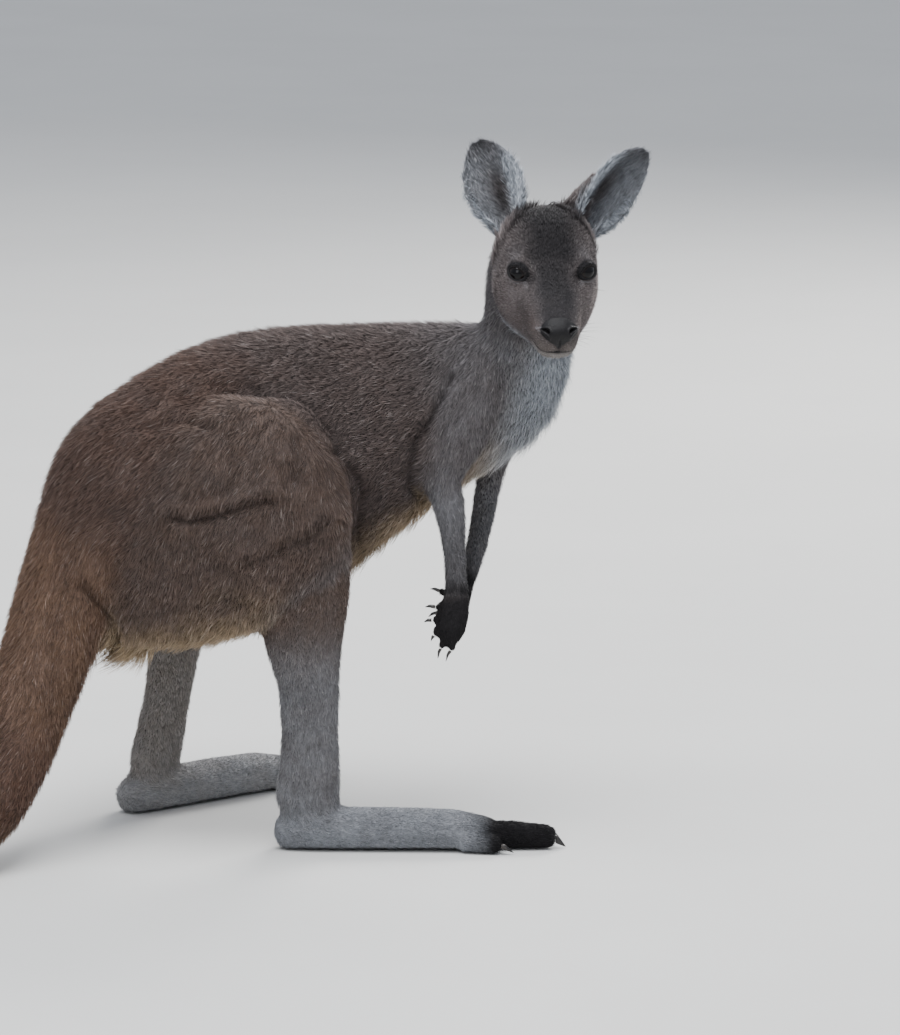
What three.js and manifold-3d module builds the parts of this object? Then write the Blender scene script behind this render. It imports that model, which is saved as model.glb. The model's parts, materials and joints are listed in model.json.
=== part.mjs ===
// A western grey kangaroo at life size, standing on both hind feet with its arms hanging.
// Millimetres, +Z up, +X to the animal's front, +Y to its left. The origin is on the floor,
// under the middle of the animal's box. Every outline runs out to the tips of the coat.
import * as THREE from 'three';
import Module from 'manifold-3d';

const wasm = await Module();
wasm.setup();

// ---- Driving dimensions, in millimetres and degrees ----
const SEAM = 0.45; // clearance that a part keeps to the one it grows out of
const WELD = 0.001; // points closer than this are one
const DOME_RINGS = 2; // rings that round off the end of a body part

const PELVIS = { x: -243, y: -15, yaw: 22 }; // middle of the hips
const HAUNCH_BACK = { forward: -98, outward: 50 }; // rear end of each thigh, from the pelvis
const KNEE_OUTWARD = 120;
const KNEE_HEIGHT = 370;
const ANKLE_HEIGHT = 50;

const HEAD = { x: 98, y: -76, z: 576, yaw: -83.5, pitch: 32 }; // midway between the eyes
const EYE_RADIUS = 12;
const EYE_CENTRE = { forward: 10, outward: 31, up: 8.5 };
const EYE_GAP = 1.5; // left round each eye in the head
const SOCKET_RADIUS = 11; // of the hollow in front of each eye
const SOCKET_CENTRE = { forward: 17, outward: 41.5, up: 14.5 };
const EAR_THICKNESS = 4;


// Hind legs: side of the body, knee's place forward of the pelvis, back of the heel on the floor,
// middle of the ankle from there, and where the foot and the shank's flat side point.
const LEGS = {
  right: { out: -1, kneeForward: 84, heel: { x: -177, y: -95 }, ankle: 37, footYaw: 0, shankYaw: 0 },
  left: { out: 1, kneeForward: 66, heel: { x: -336, y: 50 }, ankle: 46, footYaw: 40, shankYaw: 56 },
};

// ---- Colours ----
const FINISH = {
  back: { color: 0x5b4a45, roughness: 0.95 },
  shoulder: { color: 0x6d605b, roughness: 0.95 },
  rump: { color: 0x63473b, roughness: 0.95 },
  tail: { color: 0x6a483a, roughness: 0.95 },
  face: { color: 0x4f413e, roughness: 0.95 },
  throat: { color: 0x86807a, roughness: 0.95 },
  ear: { color: 0x5c5a60, roughness: 0.95 },
  leg: { color: 0x7f7672, roughness: 0.95 },
  hand: { color: 0x2a2524, roughness: 0.9 },
  claw: { color: 0x17150f, roughness: 0.35 },
  eye: { color: 0x0d0a08, roughness: 0.05 },
};

const UP = new THREE.Vector3(0, 0, 1);
const FRONT = new THREE.Vector3(1, 0, 0);
const radians = THREE.MathUtils.degToRad;

// ---- Lofts and solids ----

/** One section of a loft: its centre, and how far it reaches sideways, upwards and downwards. */
function section(x, y, z, side, up, down = up) {
  return { at: new THREE.Vector3(x, y, z), reach: new THREE.Vector3(side, up, down) };
}

/** A point of a rounded section at an angle; `square` over 2 fills its corners out. */
function rim(reach, angle, square, egg) {
  const across = Math.cos(angle);
  const above = Math.sin(angle);
  const power = 2 / square;
  const side = reach.x * (1 - egg * above);
  const height = above > 0 ? reach.y : reach.z;
  return {
    across: Math.sign(across) * Math.abs(across) ** power * side,
    above: Math.sign(above) * Math.abs(above) ** power * height,
  };
}

/**
 * The rings of a loft: centre, axes and reach of each, with the domes of its round ends. Each ring
 * faces along its own stretch of the spine, `ease` to either side of it, or along a fixed `axis`.
 */
function ringsOf({
  sections, facing, axis, ease = 0.04, from = 0, to = 1, rings, startDome = 0, endDome = 0, grow, trim = 0,
}) {
  const spine = new THREE.CatmullRomCurve3(sections.map((s) => s.at), false, 'centripetal');
  const size = new THREE.CatmullRomCurve3(sections.map((s) => s.reach), false, 'catmullrom', 0.5);
  const list = [];
  for (let i = 0; i <= rings; i++) {
    const t = from + ((to - from) * i) / rings;
    const chord = spine.getPoint(Math.min(t + ease, 1)).sub(spine.getPoint(Math.max(t - ease, 0)));
    const along = (axis ?? chord).clone().normalize();
    const side = new THREE.Vector3().crossVectors(facing, along).normalize();
    const up = new THREE.Vector3().crossVectors(along, side);
    const reach = size.getPoint(t).addScalar(grow);
    list.push({ centre: spine.getPoint(t), along, side, up, reach });
  }
  const ends = [
    { ring: list[0], dome: startDome, sign: -1 },
    { ring: list.at(-1), dome: endDome, sign: 1 },
  ];
  const [head, tail] = ends.map(({ ring, dome, sign }) => domeRings(ring, dome, sign, grow, trim));
  return [...head.reverse(), ...list.slice(1, -1), ...tail];
}

/** The rings at one end of a loft, from the last full ring outwards, and the pole. */
function domeRings(ring, dome, sign, grow, trim) {
  const depth = dome + grow;
  const place = (advance, scale) => ({
    ...ring,
    centre: ring.centre.clone().addScaledVector(ring.along, sign * (advance - trim)),
    reach: ring.reach.clone().multiplyScalar(scale),
  });
  if (dome === 0) return [place(grow, 1), place(grow, 0)];
  const list = [];
  for (let i = 0; i <= DOME_RINGS; i++) {
    const angle = (Math.PI / 2) * (i / DOME_RINGS);
    list.push(place(depth * Math.sin(angle), i === DOME_RINGS ? 0 : Math.cos(angle)));
  }
  return list;
}

/** A closed loft through rounded sections, as a solid. */
function loft({ sides = 16, square = 2.2, egg = 0, place, grow = 0, ...rest }) {
  const rings = ringsOf({ facing: UP, ...rest, grow });
  const points = [];
  const faces = [];
  const starts = rings.map(({ centre, side, up, reach }) => {
    const first = points.length;
    if (reach.x === 0) {
      points.push(centre.clone());
      return first;
    }
    for (let i = 0; i < sides; i++) {
      const { across, above } = rim(reach, (2 * Math.PI * i) / sides, square, egg);
      points.push(centre.clone().addScaledVector(side, across).addScaledVector(up, above));
    }
    return first;
  });
  for (let r = 0; r < rings.length - 1; r++) {
    for (let i = 0; i < sides; i++) {
      const j = (i + 1) % sides;
      const [a, b] = [starts[r], starts[r + 1]];
      if (rings[r].reach.x !== 0) faces.push([a + i, a + j, rings[r + 1].reach.x === 0 ? b : b + j]);
      if (rings[r + 1].reach.x !== 0) faces.push([rings[r].reach.x === 0 ? a : a + i, b + j, b + i]);
    }
  }
  if (place) points.forEach((p) => p.applyMatrix4(place));
  return toSolid(points, faces);
}

/** A solid from points and triangles, turned so that its faces point out. */
function toSolid(points, faces) {
  const volume = faces.reduce((sum, [a, b, c]) => {
    return sum + points[a].dot(new THREE.Vector3().crossVectors(points[b], points[c]));
  }, 0);
  const ordered = volume > 0 ? faces : faces.map(([a, b, c]) => [a, c, b]);
  return new wasm.Manifold(new wasm.Mesh({
    numProp: 3,
    vertProperties: Float32Array.from(points.flatMap((p) => p.toArray())),
    triVerts: Uint32Array.from(ordered.flat()),
  }));
}

/** A body part as a function of how much it is grown, joined from one or more lofts. */
function flesh(...lofts) {
  return (grow = 0) => lofts.map((spec) => loft({ ...spec, grow })).reduce((a, b) => a.add(b));
}

/** The solid with each of the other parts, grown by the seam, cut out of it. */
function cutFor(solid, ...others) {
  const cut = others.reduce((rest, other) => rest.subtract(other(SEAM)), solid);
  return cut.decompose().reduce((a, b) => (a.volume() > b.volume() ? a : b));
}

/** A solid from the triangles of a geometry, with the points that they share welded. */
function fromGeometry(geometry) {
  const position = geometry.getAttribute('position');
  const order = geometry.index ? Array.from(geometry.index.array) : [...Array(position.count).keys()];
  const index = new Map();
  const points = [];
  const corners = order.map((i) => {
    const point = new THREE.Vector3().fromBufferAttribute(position, i);
    const key = point.toArray().map((v) => Math.round(v / WELD)).join();
    if (!index.has(key)) index.set(key, points.push(point) - 1);
    return index.get(key);
  });
  const faces = [];
  for (let i = 0; i < corners.length; i += 3) faces.push(corners.slice(i, i + 3));
  return toSolid(points, faces);
}

const ground = fromGeometry(new THREE.BoxGeometry(4000, 4000, 400).translate(0, 0, -200));

/** The solid without what reaches below the floor, so that it rests on a flat. */
function onFloor(solid) {
  return solid.subtract(ground);
}

const kangaroo = new THREE.Group();

/** Adds a solid to the animal as a named mesh. */
function addPart(name, solid, finish) {
  const { vertProperties, triVerts } = solid.getMesh();
  const geometry = new THREE.BufferGeometry();
  geometry.setAttribute('position', new THREE.BufferAttribute(vertProperties, 3));
  geometry.setIndex(new THREE.BufferAttribute(triVerts, 1));
  geometry.computeVertexNormals();
  const mesh = new THREE.Mesh(geometry, new THREE.MeshStandardMaterial({ metalness: 0, ...finish }));
  mesh.name = name;
  kangaroo.add(mesh);
}

// ---- Trunk and tail: one spine, parted by thin cuts ----

const SPINE = [
  section(80, 26, 456, 46, 50, 52),
  section(45, 37, 438, 62, 78, 66),
  section(-10, 43, 418, 72, 96, 78),
  section(-98, 33, 391, 94, 124, 110),
  section(-198, 4, 366, 104, 141, 150),
  section(-284, -32, 334, 102, 130, 148),
  section(-326, -50, 315, 92, 110, 146),
  section(-360, -68, 286, 66, 66, 112),
  section(-386, -87, 246, 50, 46, 66),
  section(-402, -110, 192, 46, 45, 48),
  section(-427, -146, 123, 44, 45),
  section(-467, -196, 56, 41, 42),
  section(-530, -262, 31, 36, 35),
  section(-622, -352, 25, 28, 28),
  section(-730, -428, 16.5, 19, 19),
  section(-822, -476, 6.5, 9, 9),
];
const SPANS = SPINE.length - 1;
const SPINE_EASE = 0.085; // share of the spine that smooths the way its rings face
const TAIL_FROM = 7; // section where the tail leaves the rump
const TRUNK_SHAPE = { sides: 16, egg: 0.08 };
const TAIL_SHAPE = { sides: 12 };
const BREAST_DOME = 34;
const TAIL_TIP_DOME = 8;
const SPINE_PARTS = [
  { name: 'chest', from: 0, to: 2, rings: 5, finish: FINISH.shoulder },
  { name: 'belly', from: 2, to: 4, rings: 4, finish: FINISH.back },
  { name: 'rump', from: 4, to: TAIL_FROM, rings: 7, finish: FINISH.rump },
  { name: 'tail_base', from: TAIL_FROM, to: 10, rings: 5, finish: FINISH.tail },
  { name: 'tail_middle', from: 10, to: 12, rings: 5, finish: FINISH.tail },
  { name: 'tail_end', from: 12, to: 15, rings: 5, finish: FINISH.tail },
];

/** The soft mound below the root of the tail. */
const vent = flesh({
  sections: [section(-316, -54, 262, 26, 34, 20), section(-321, -54, 205, 24, 32, 18)],
  facing: FRONT,
  rings: 2,
  sides: 10,
  endDome: 22,
});

/** One length of the spine between two of its sections. */
function spineLength({ from, to, rings }) {
  return loft({
    sections: SPINE,
    from: from / SPANS,
    to: to / SPANS,
    rings,
    ease: SPINE_EASE,
    ...(to > TAIL_FROM ? TAIL_SHAPE : TRUNK_SHAPE),
    trim: SEAM / 2,
    startDome: from === 0 ? BREAST_DOME : 0,
    endDome: to === SPANS ? TAIL_TIP_DOME : 0,
  });
}

// ---- Neck and head ----

const headPlace = new THREE.Matrix4()
  .makeTranslation(HEAD.x, HEAD.y, HEAD.z)
  .multiply(new THREE.Matrix4().makeRotationZ(radians(HEAD.yaw)))
  .multiply(new THREE.Matrix4().makeRotationY(radians(HEAD.pitch)));

const neck = flesh({
  sections: [
    section(71, 24, 432, 43.5, 40, 40),
    section(79, 17, 481, 46.5, 47, 47),
    section(81, 5, 530, 45, 42, 49),
    section(84, -7, 568, 41.5, 39, 50),
    section(87, -14, 590, 35, 32, 44),
  ],
  facing: FRONT,
  rings: 5,
  sides: 14,
  endDome: 8,
});

const skull = {
  sections: [
    section(-70, 0, -2, 34, 28, 40),
    section(-48, 0, 0, 47.5, 38, 62),
    section(-24, 0, 0, 50, 37, 79),
    section(0, 0, -1, 47, 30, 82),
    section(25, 0, -3, 40, 23, 70),
    section(50, 0, -5, 29, 18, 52),
    section(72, 0, -6, 22.5, 15, 43),
    section(86, 0, -7, 19, 12, 38),
  ],
  place: headPlace,
  rings: 9,
  sides: 16,
  square: 2.7,
  egg: 0.28,
  startDome: 15,
  endDome: 9,
};

// The mounds of muscle that carry the ears, behind each ear's root.
const earMounds = [
  [section(66, 6, 600, 19, 20), section(60, 18, 630, 14, 14)],
  [section(113, -8, 606, 19, 20), section(129, 2, 637, 12, 12), section(143, 8, 656, 7, 7)],
].map((sections) => ({ sections, facing: FRONT, rings: 2, sides: 8, endDome: 9 }));

const head = flesh(skull, ...earMounds);

/** A ball on one side of the head, at a place in the head's own frame. */
function headBall({ forward, outward, up }, radius, out, detail = 2) {
  const centre = new THREE.Vector3(forward, out * outward, up).applyMatrix4(headPlace);
  return fromGeometry(new THREE.IcosahedronGeometry(radius, detail).translate(...centre.toArray()));
}

// ---- Ears: cupped leaves, rolled at the root and open above ----

const EARS = {
  right: {
    width: 61,
    root: new THREE.Vector3(65, -28, 602),
    tip: new THREE.Vector3(26, 14, 695),
    open: new THREE.Vector3(-0.15, -0.97, 0.1),
  },
  left: {
    width: 57,
    root: new THREE.Vector3(117, -20, 605),
    tip: new THREE.Vector3(197, 4, 684),
    open: new THREE.Vector3(0.5, -0.8, -0.1),
  },
};
// Along an ear, root to tip: share of its length, share of its width, half of its arc in degrees.
const EAR_OUTLINE = [
  [0, 0.4, 150],
  [0.16, 0.56, 118],
  [0.34, 0.86, 84],
  [0.55, 1, 66],
  [0.74, 0.88, 56],
  [0.88, 0.62, 48],
  [0.96, 0.37, 42],
  [1, 0.16, 40],
];
const EAR_ACROSS = 6; // faces from edge to edge, on each side of the leaf
const EAR_HUB = 0.55; // how far in front of the root's line the arcs are centred, in radii

/** The points of one arc across an ear: its outer side from edge to edge, then its inner side. */
function earArc({ width, root, tip, open }, [share, breadth, halfArc]) {
  const axis = tip.clone().sub(root);
  const along = axis.clone().normalize();
  const front = open.clone().addScaledVector(along, -open.dot(along)).normalize();
  const side = new THREE.Vector3().crossVectors(along, front);
  const arc = radians(halfArc);
  const radius = (width * breadth) / 2 / Math.sin(Math.min(arc, Math.PI / 2));
  const hub = root.clone().addScaledVector(axis, share).addScaledVector(front, radius * EAR_HUB);
  const place = (step, reach) => {
    const turn = arc * ((2 * step) / EAR_ACROSS - 1);
    return hub.clone()
      .addScaledVector(side, reach * Math.sin(turn))
      .addScaledVector(front, -reach * Math.cos(turn));
  };
  const steps = [...Array(EAR_ACROSS + 1).keys()];
  return [
    ...steps.map((step) => place(step, radius + EAR_THICKNESS / 2)),
    ...steps.reverse().map((step) => place(step, radius - EAR_THICKNESS / 2)),
  ];
}

/** An ear: a curved leaf of even thickness between its inner and its outer side. */
function ear(spec) {
  const rows = EAR_OUTLINE.length;
  const across = 2 * EAR_ACROSS + 2;
  const points = EAR_OUTLINE.flatMap((row) => earArc(spec, row));
  const faces = [];
  for (let r = 0; r < rows - 1; r++) {
    for (let i = 0; i < across; i++) {
      const j = (i + 1) % across;
      const [a, b] = [r * across, (r + 1) * across];
      faces.push([a + i, a + j, b + j], [a + i, b + j, b + i]);
    }
  }
  const last = (rows - 1) * across;
  for (let outer = 0; outer < EAR_ACROSS; outer++) {
    const inner = across - 1 - outer;
    faces.push([outer, inner, outer + 1], [outer + 1, inner, inner - 1]);
    faces.push([last + outer, last + outer + 1, last + inner]);
    faces.push([last + outer + 1, last + inner - 1, last + inner]);
  }
  return toSolid(points, faces);
}

// ---- Arms ----

const upperArm = {
  right: flesh({
    sections: [
      section(38, 2, 482, 20, 26, 26),
      section(23, -14, 438, 27, 33, 33),
      section(1, -23, 389, 24, 28, 27),
      section(-11, -27, 358, 19, 20, 20),
    ],
    facing: FRONT, sides: 10, rings: 4, startDome: 14, endDome: 13,
  }),
  left: flesh({
    sections: [
      section(64, 72, 462, 18, 24, 24),
      section(55, 86, 418, 25, 29, 29),
      section(47, 92, 372, 19, 21, 21),
      section(42, 91, 346, 15, 16, 16),
    ],
    facing: FRONT, sides: 10, rings: 4, startDome: 14, endDome: 12,
  }),
};

const forearm = {
  right: flesh({
    sections: [
      section(-8, -27, 358, 17, 18, 18),
      section(-1, -33, 335, 16.5, 18, 18),
      section(3.5, -42, 302, 12.5, 13, 13),
      section(5.5, -49, 270, 12, 12, 12),
      section(6.5, -54, 250, 11, 13, 13),
    ],
    facing: FRONT, sides: 9, rings: 5, startDome: 12, endDome: 3,
  }),
  left: flesh({
    sections: [
      section(42, 91, 349, 14, 15, 15),
      section(37, 88, 325, 13, 14, 14),
      section(31, 80, 290, 12, 12.5, 12.5),
      section(23, 68, 260, 11, 11.5, 11.5),
      section(14, 58, 238, 10, 11, 11),
    ],
    facing: FRONT, sides: 9, rings: 5, startDome: 12, endDome: 3,
  }),
};

const palm = {
  right: {
    sections: [
      section(7, -54, 250, 9.5, 13, 13),
      section(4, -58, 231, 10, 16, 16),
      section(1, -61, 214, 10, 15, 15),
      section(0, -62, 205, 8, 11, 11),
    ],
    facing: FRONT, sides: 9, rings: 3, startDome: 2, endDome: 5,
  },
  left: {
    sections: [
      section(14, 58, 238, 9, 11, 11),
      section(7, 50, 221, 9.5, 14, 14),
      section(1, 43, 206, 9.5, 13, 13),
      section(-1, 40, 199, 8, 10, 10),
    ],
    facing: FRONT, sides: 9, rings: 3, startDome: 2, endDome: 5,
  },
};

// Each digit of a hand: where it leaves the palm, where its pad ends and where its claw ends.
const DIGITS = {
  right: [
    [[-4, -53, 241], [-12, -51, 235], [-25, -49, 235]],
    [[-7, -57, 231], [-15, -56, 223], [-26, -55, 221]],
    [[-9, -60, 221], [-14, -60, 210], [-19, -61, 202]],
    [[-5, -62, 211], [-8, -63, 198], [-12, -65, 186]],
    [[5, -62, 211], [2, -64, 196], [-4, -66, 183]],
  ],
  left: [
    [[3, 50, 226], [-9, 37, 234], [-20, 29, 238]],
    [[0, 46, 216], [-11, 30, 214], [-22, 20, 211]],
    [[-3, 41, 207], [-10, 25, 202], [-17, 14, 196]],
    [[0, 38, 202], [-4, 24, 192], [-8, 14, 185]],
    [[7, 42, 206], [3, 28, 195], [-1, 18, 187]],
  ],
};
const DIGIT_REACH = { root: 5, tip: 4 };
const DIGIT_FACING = new THREE.Vector3(0.3, -0.8, 0.5);

const CLAW_REACH = { hand: 2.4, fourthToe: 7, fifthToe: 4, groomingToe: 2.2 };
const CLAW_SIDES = 5;
const CLAW_WIDTH = 0.8; // of a claw's own height
const CLAW_MIDDLE = { share: 0.55, reach: 0.78 }; // of the way to the point, of its height at the pad
const CLAW_POINT = 0.5;
const CLAW_FACING = new THREE.Vector3(0.4, 0, 1);
const HAND_CLAW_BULGE = new THREE.Vector3(-0.8, 0, 1.2);

/** A digit: a short rounded bar from the palm to its pad. */
function digit([root, tip]) {
  return {
    sections: [
      section(...root, DIGIT_REACH.root, DIGIT_REACH.root),
      section(...tip, DIGIT_REACH.tip, DIGIT_REACH.tip),
    ],
    facing: DIGIT_FACING, sides: 5, rings: 1, endDome: 3,
  };
}

/** A claw: a tapering hook from inside the pad to its point, bulging to one side. */
function claw(pad, point, reach, bulge) {
  const [a, b] = [new THREE.Vector3(...pad), new THREE.Vector3(...point)];
  const middle = a.clone().lerp(b, CLAW_MIDDLE.share).add(bulge);
  return flesh({
    sections: [
      section(...a.toArray(), reach * CLAW_WIDTH, reach),
      section(...middle.toArray(), reach * CLAW_WIDTH * CLAW_MIDDLE.reach, reach * CLAW_MIDDLE.reach),
      section(...b.toArray(), CLAW_POINT, CLAW_POINT),
    ],
    facing: CLAW_FACING, sides: CLAW_SIDES, rings: 2,
  });
}

// ---- Hind legs ----

/** The level direction at an angle from +X towards +Y. */
function heading(yaw) {
  return new THREE.Vector3(Math.cos(radians(yaw)), Math.sin(radians(yaw)), 0);
}

const pelvisForward = heading(PELVIS.yaw);
const pelvisLeft = new THREE.Vector3(-pelvisForward.y, pelvisForward.x, 0);

/** A point on the floor plan, from the middle of the pelvis. */
function fromPelvis(forward, left) {
  return new THREE.Vector3(PELVIS.x, PELVIS.y, 0)
    .addScaledVector(pelvisForward, forward)
    .addScaledVector(pelvisLeft, left);
}

// Sections of a thigh: share of the way to the knee, height, half of its width and of its depth.
const THIGH = [
  [0, 270, 34, 66],
  [0.16, 304, 55, 102],
  [0.42, 331, 66, 122],
  [0.68, 338, 63, 116],
  [0.88, 338, 53, 97],
  [1, 329, 42, 74],
];
// Sections of a shank: height, how far it bows forward, half of its width, reach forward and back.
const SHANK = [
  [KNEE_HEIGHT, -16, 30, 30, 34],
  [300, -24, 37, 54, 47],
  [242, -20, 33, 50, 46],
  [203, -15, 28, 41, 38],
  [165, -8, 24, 33, 31],
  [118, -4, 21, 31, 29],
  [76, -1, 22, 32, 32],
  [54, 0, 22, 33, 36],
  [33, 2, 20, 29, 30],
];

/** The two solids of an upper and lower hind leg. */
function leg({ out, kneeForward, heel, ankle: ankleFromHeel, footYaw, shankYaw }) {
  const [footForward, shankForward] = [footYaw, shankYaw].map(heading);
  const back = fromPelvis(HAUNCH_BACK.forward, out * HAUNCH_BACK.outward);
  const knee = fromPelvis(kneeForward, out * KNEE_OUTWARD);
  const ankle = new THREE.Vector3(heel.x, heel.y, 0).addScaledVector(footForward, ankleFromHeel);
  const thighSections = THIGH.map(([share, height, side, depth]) => {
    const at = back.clone().lerp(knee, share);
    return section(at.x, at.y, height, side, depth);
  });
  const shankSections = SHANK.map(([height, bow, side, front, rear]) => {
    const share = (height - ANKLE_HEIGHT) / (KNEE_HEIGHT - ANKLE_HEIGHT);
    const at = ankle.clone().lerp(knee, share).addScaledVector(footForward, bow);
    return section(at.x, at.y, height, side, front, rear);
  });
  return {
    thigh: flesh({
      sections: thighSections, axis: knee.clone().sub(back), sides: 16, rings: 7, startDome: 24, endDome: 26,
    }),
    shank: flesh({
      sections: shankSections, facing: shankForward, sides: 11, rings: 8, startDome: 8, endDome: 10,
    }),
  };
}

// ---- Hind feet, each in its own frame: from the back of the heel, forward, left and up ----

/** The frame of a hind foot on the floor. */
function footPlace({ heel, footYaw }) {
  return new THREE.Matrix4()
    .makeTranslation(heel.x, heel.y, 0)
    .multiply(new THREE.Matrix4().makeRotationZ(radians(footYaw)));
}

/** The fleshy lofts of a hind foot: sole, long fourth toe, outer toe and the joined inner toes. */
function footLofts({ out, place }) {
  return [
    {
      sections: [
        section(14, 0, 16, 19, 20, 18),
        section(40, 0, 20, 24, 27, 22),
        section(75, 0, 20, 25, 22, 22),
        section(125, 0, 20, 26, 21, 22),
        section(180, 0, 19, 27, 20, 21),
        section(214, 0, 15, 25, 16, 17),
      ],
      place, sides: 10, rings: 5, square: 2.6, startDome: 13, endDome: 15,
    },
    {
      sections: [
        section(195, out * 2, 14, 15, 15),
        section(238, out * 3, 13.5, 14, 16, 15),
        section(276, out * 3, 12, 11, 13),
      ],
      place, sides: 8, rings: 2, square: 2.5, endDome: 7,
    },
    {
      sections: [section(188, out * 20, 11, 10, 12), section(222, out * 27, 10, 9, 11)],
      place, sides: 7, rings: 1, square: 2.4, endDome: 7,
    },
    {
      sections: [section(188, -out * 18, 11, 8, 10, 12), section(226, -out * 21, 9, 7.5, 9, 10)],
      place, sides: 7, rings: 1, square: 2.4, endDome: 5,
    },
  ];
}

/** The claws of a hind foot, named by toe: the pad that each leaves and the point it ends in. */
function footClaws({ out }) {
  return {
    second: [[224, -out * 24.5, 10], [243, -out * 25.5, 3], CLAW_REACH.groomingToe, 1],
    third: [[224, -out * 18.5, 10], [243, -out * 18.5, 3], CLAW_REACH.groomingToe, 1],
    fourth: [[268, out * 3, 13], [292, out * 3, 2], CLAW_REACH.fourthToe, 4],
    fifth: [[220, out * 28, 9.5], [240, out * 31, 2.5], CLAW_REACH.fifthToe, 2],
  };
}

// ---- Assembly ----

const legs = Object.fromEntries(Object.entries(LEGS).map(([side, spec]) => [side, leg(spec)]));
const limbs = ['right', 'left'].flatMap((side) => {
  return [legs[side].thigh, legs[side].shank, upperArm[side], forearm[side]];
});

for (const spec of SPINE_PARTS) {
  const length = onFloor(spineLength(spec));
  const joined = spec.name === 'rump' ? length.add(vent()) : length;
  const others = spec.name === 'rump' ? limbs : [vent, neck, ...limbs];
  addPart(spec.name, cutFor(joined, ...others), spec.finish);
}

addPart('neck', cutFor(neck(), head, upperArm.right, upperArm.left), FINISH.throat);

const eyeCuts = [-1, 1].flatMap((out) => [
  () => headBall(EYE_CENTRE, EYE_RADIUS + EYE_GAP, out, 1),
  () => headBall(SOCKET_CENTRE, SOCKET_RADIUS, out, 1),
]);
addPart('head', cutFor(head(), ...eyeCuts), FINISH.face);
addPart('eye_right', headBall(EYE_CENTRE, EYE_RADIUS, -1), FINISH.eye);
addPart('eye_left', headBall(EYE_CENTRE, EYE_RADIUS, 1), FINISH.eye);
for (const [side, spec] of Object.entries(EARS)) {
  addPart(`ear_${side}`, cutFor(ear(spec), head, neck), FINISH.ear);
}

for (const [side, { thigh, shank }] of Object.entries(legs)) {
  const place = footPlace(LEGS[side]);
  const foot = flesh(...footLofts({ out: LEGS[side].out, place }));
  addPart(`thigh_${side}`, thigh(), FINISH.rump);
  addPart(`shank_${side}`, cutFor(shank(), thigh, foot), FINISH.leg);
  addPart(`foot_${side}`, onFloor(foot()), FINISH.leg);
  for (const [toe, [pad, point, reach, bulge]] of Object.entries(footClaws(LEGS[side]))) {
    const [a, b] = [pad, point].map((p) => new THREE.Vector3(...p).applyMatrix4(place).toArray());
    const solid = claw(a, b, reach, UP.clone().multiplyScalar(bulge))();
    addPart(`claw_foot_${side}_${toe}`, cutFor(onFloor(solid), foot), FINISH.claw);
  }
}

const DIGIT_NAMES = ['first', 'second', 'third', 'fourth', 'fifth'];
for (const side of ['right', 'left']) {
  const hand = flesh(palm[side], ...DIGITS[side].map(digit));
  addPart(`upper_arm_${side}`, upperArm[side](), FINISH.shoulder);
  addPart(`forearm_${side}`, cutFor(forearm[side](), upperArm[side]), FINISH.leg);
  addPart(`hand_${side}`, cutFor(hand(), forearm[side]), FINISH.hand);
  DIGITS[side].forEach(([, pad, point], i) => {
    const solid = claw(pad, point, CLAW_REACH.hand, HAND_CLAW_BULGE)();
    addPart(`claw_hand_${side}_${DIGIT_NAMES[i]}`, cutFor(solid, hand), FINISH.claw);
  });
}

const box = new THREE.Box3().setFromObject(kangaroo);
kangaroo.position.set(-(box.min.x + box.max.x) / 2, -(box.min.y + box.max.y) / 2, -box.min.z);
kangaroo.updateMatrixWorld(true);

export default kangaroo;
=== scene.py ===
"""A western grey kangaroo at life size: skin, coat, eyes, claws and whiskers over its solids.

Metres, in the frame of the solids: +X to the animal's front, +Y to its left, +Z up, with the
floor at 0. The skin is one mesh, grown from all the solids of flesh, and the coat is thin tufts
that lie on it from the head to the tail and down the limbs.
"""

import copy
import json
import logging
import math
from dataclasses import dataclass, field, replace
from enum import Enum

import bmesh
import bpy
import numpy as np
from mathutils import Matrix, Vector
from mathutils.bvhtree import BVHTree
from mathutils.kdtree import KDTree

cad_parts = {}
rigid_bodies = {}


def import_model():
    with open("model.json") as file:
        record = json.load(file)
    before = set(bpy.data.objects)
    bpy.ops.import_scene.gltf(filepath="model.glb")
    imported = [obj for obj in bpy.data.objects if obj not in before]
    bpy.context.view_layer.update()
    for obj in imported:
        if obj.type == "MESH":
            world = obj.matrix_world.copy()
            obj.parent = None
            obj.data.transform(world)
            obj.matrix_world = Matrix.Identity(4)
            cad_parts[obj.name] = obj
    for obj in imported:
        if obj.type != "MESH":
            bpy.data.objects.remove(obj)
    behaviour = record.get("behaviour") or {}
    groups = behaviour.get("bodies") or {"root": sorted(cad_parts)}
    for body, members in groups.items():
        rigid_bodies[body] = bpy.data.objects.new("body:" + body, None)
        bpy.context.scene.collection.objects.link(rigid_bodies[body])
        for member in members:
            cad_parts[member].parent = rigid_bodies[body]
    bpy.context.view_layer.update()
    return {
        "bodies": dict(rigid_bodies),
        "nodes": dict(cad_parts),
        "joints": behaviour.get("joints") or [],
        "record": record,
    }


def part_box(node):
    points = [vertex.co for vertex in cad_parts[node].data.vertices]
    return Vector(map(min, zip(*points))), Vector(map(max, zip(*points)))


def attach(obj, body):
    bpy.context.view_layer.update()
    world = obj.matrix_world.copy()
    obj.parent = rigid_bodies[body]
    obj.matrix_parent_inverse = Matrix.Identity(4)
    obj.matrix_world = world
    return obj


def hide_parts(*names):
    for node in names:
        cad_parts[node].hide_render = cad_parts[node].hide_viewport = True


Array = np.ndarray
LOG = logging.getLogger("kangaroo")
MM = 0.001
SIDES = {"right": -1.0, "left": 1.0}


# ---- Numbers and fields ----


def smooth(low: float, high: float, value: Array) -> Array:
    """A soft step from 0 at low to 1 at high."""
    t = np.clip((value - low) / (high - low), 0.0, 1.0)
    return t * t * (3.0 - 2.0 * t)


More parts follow.
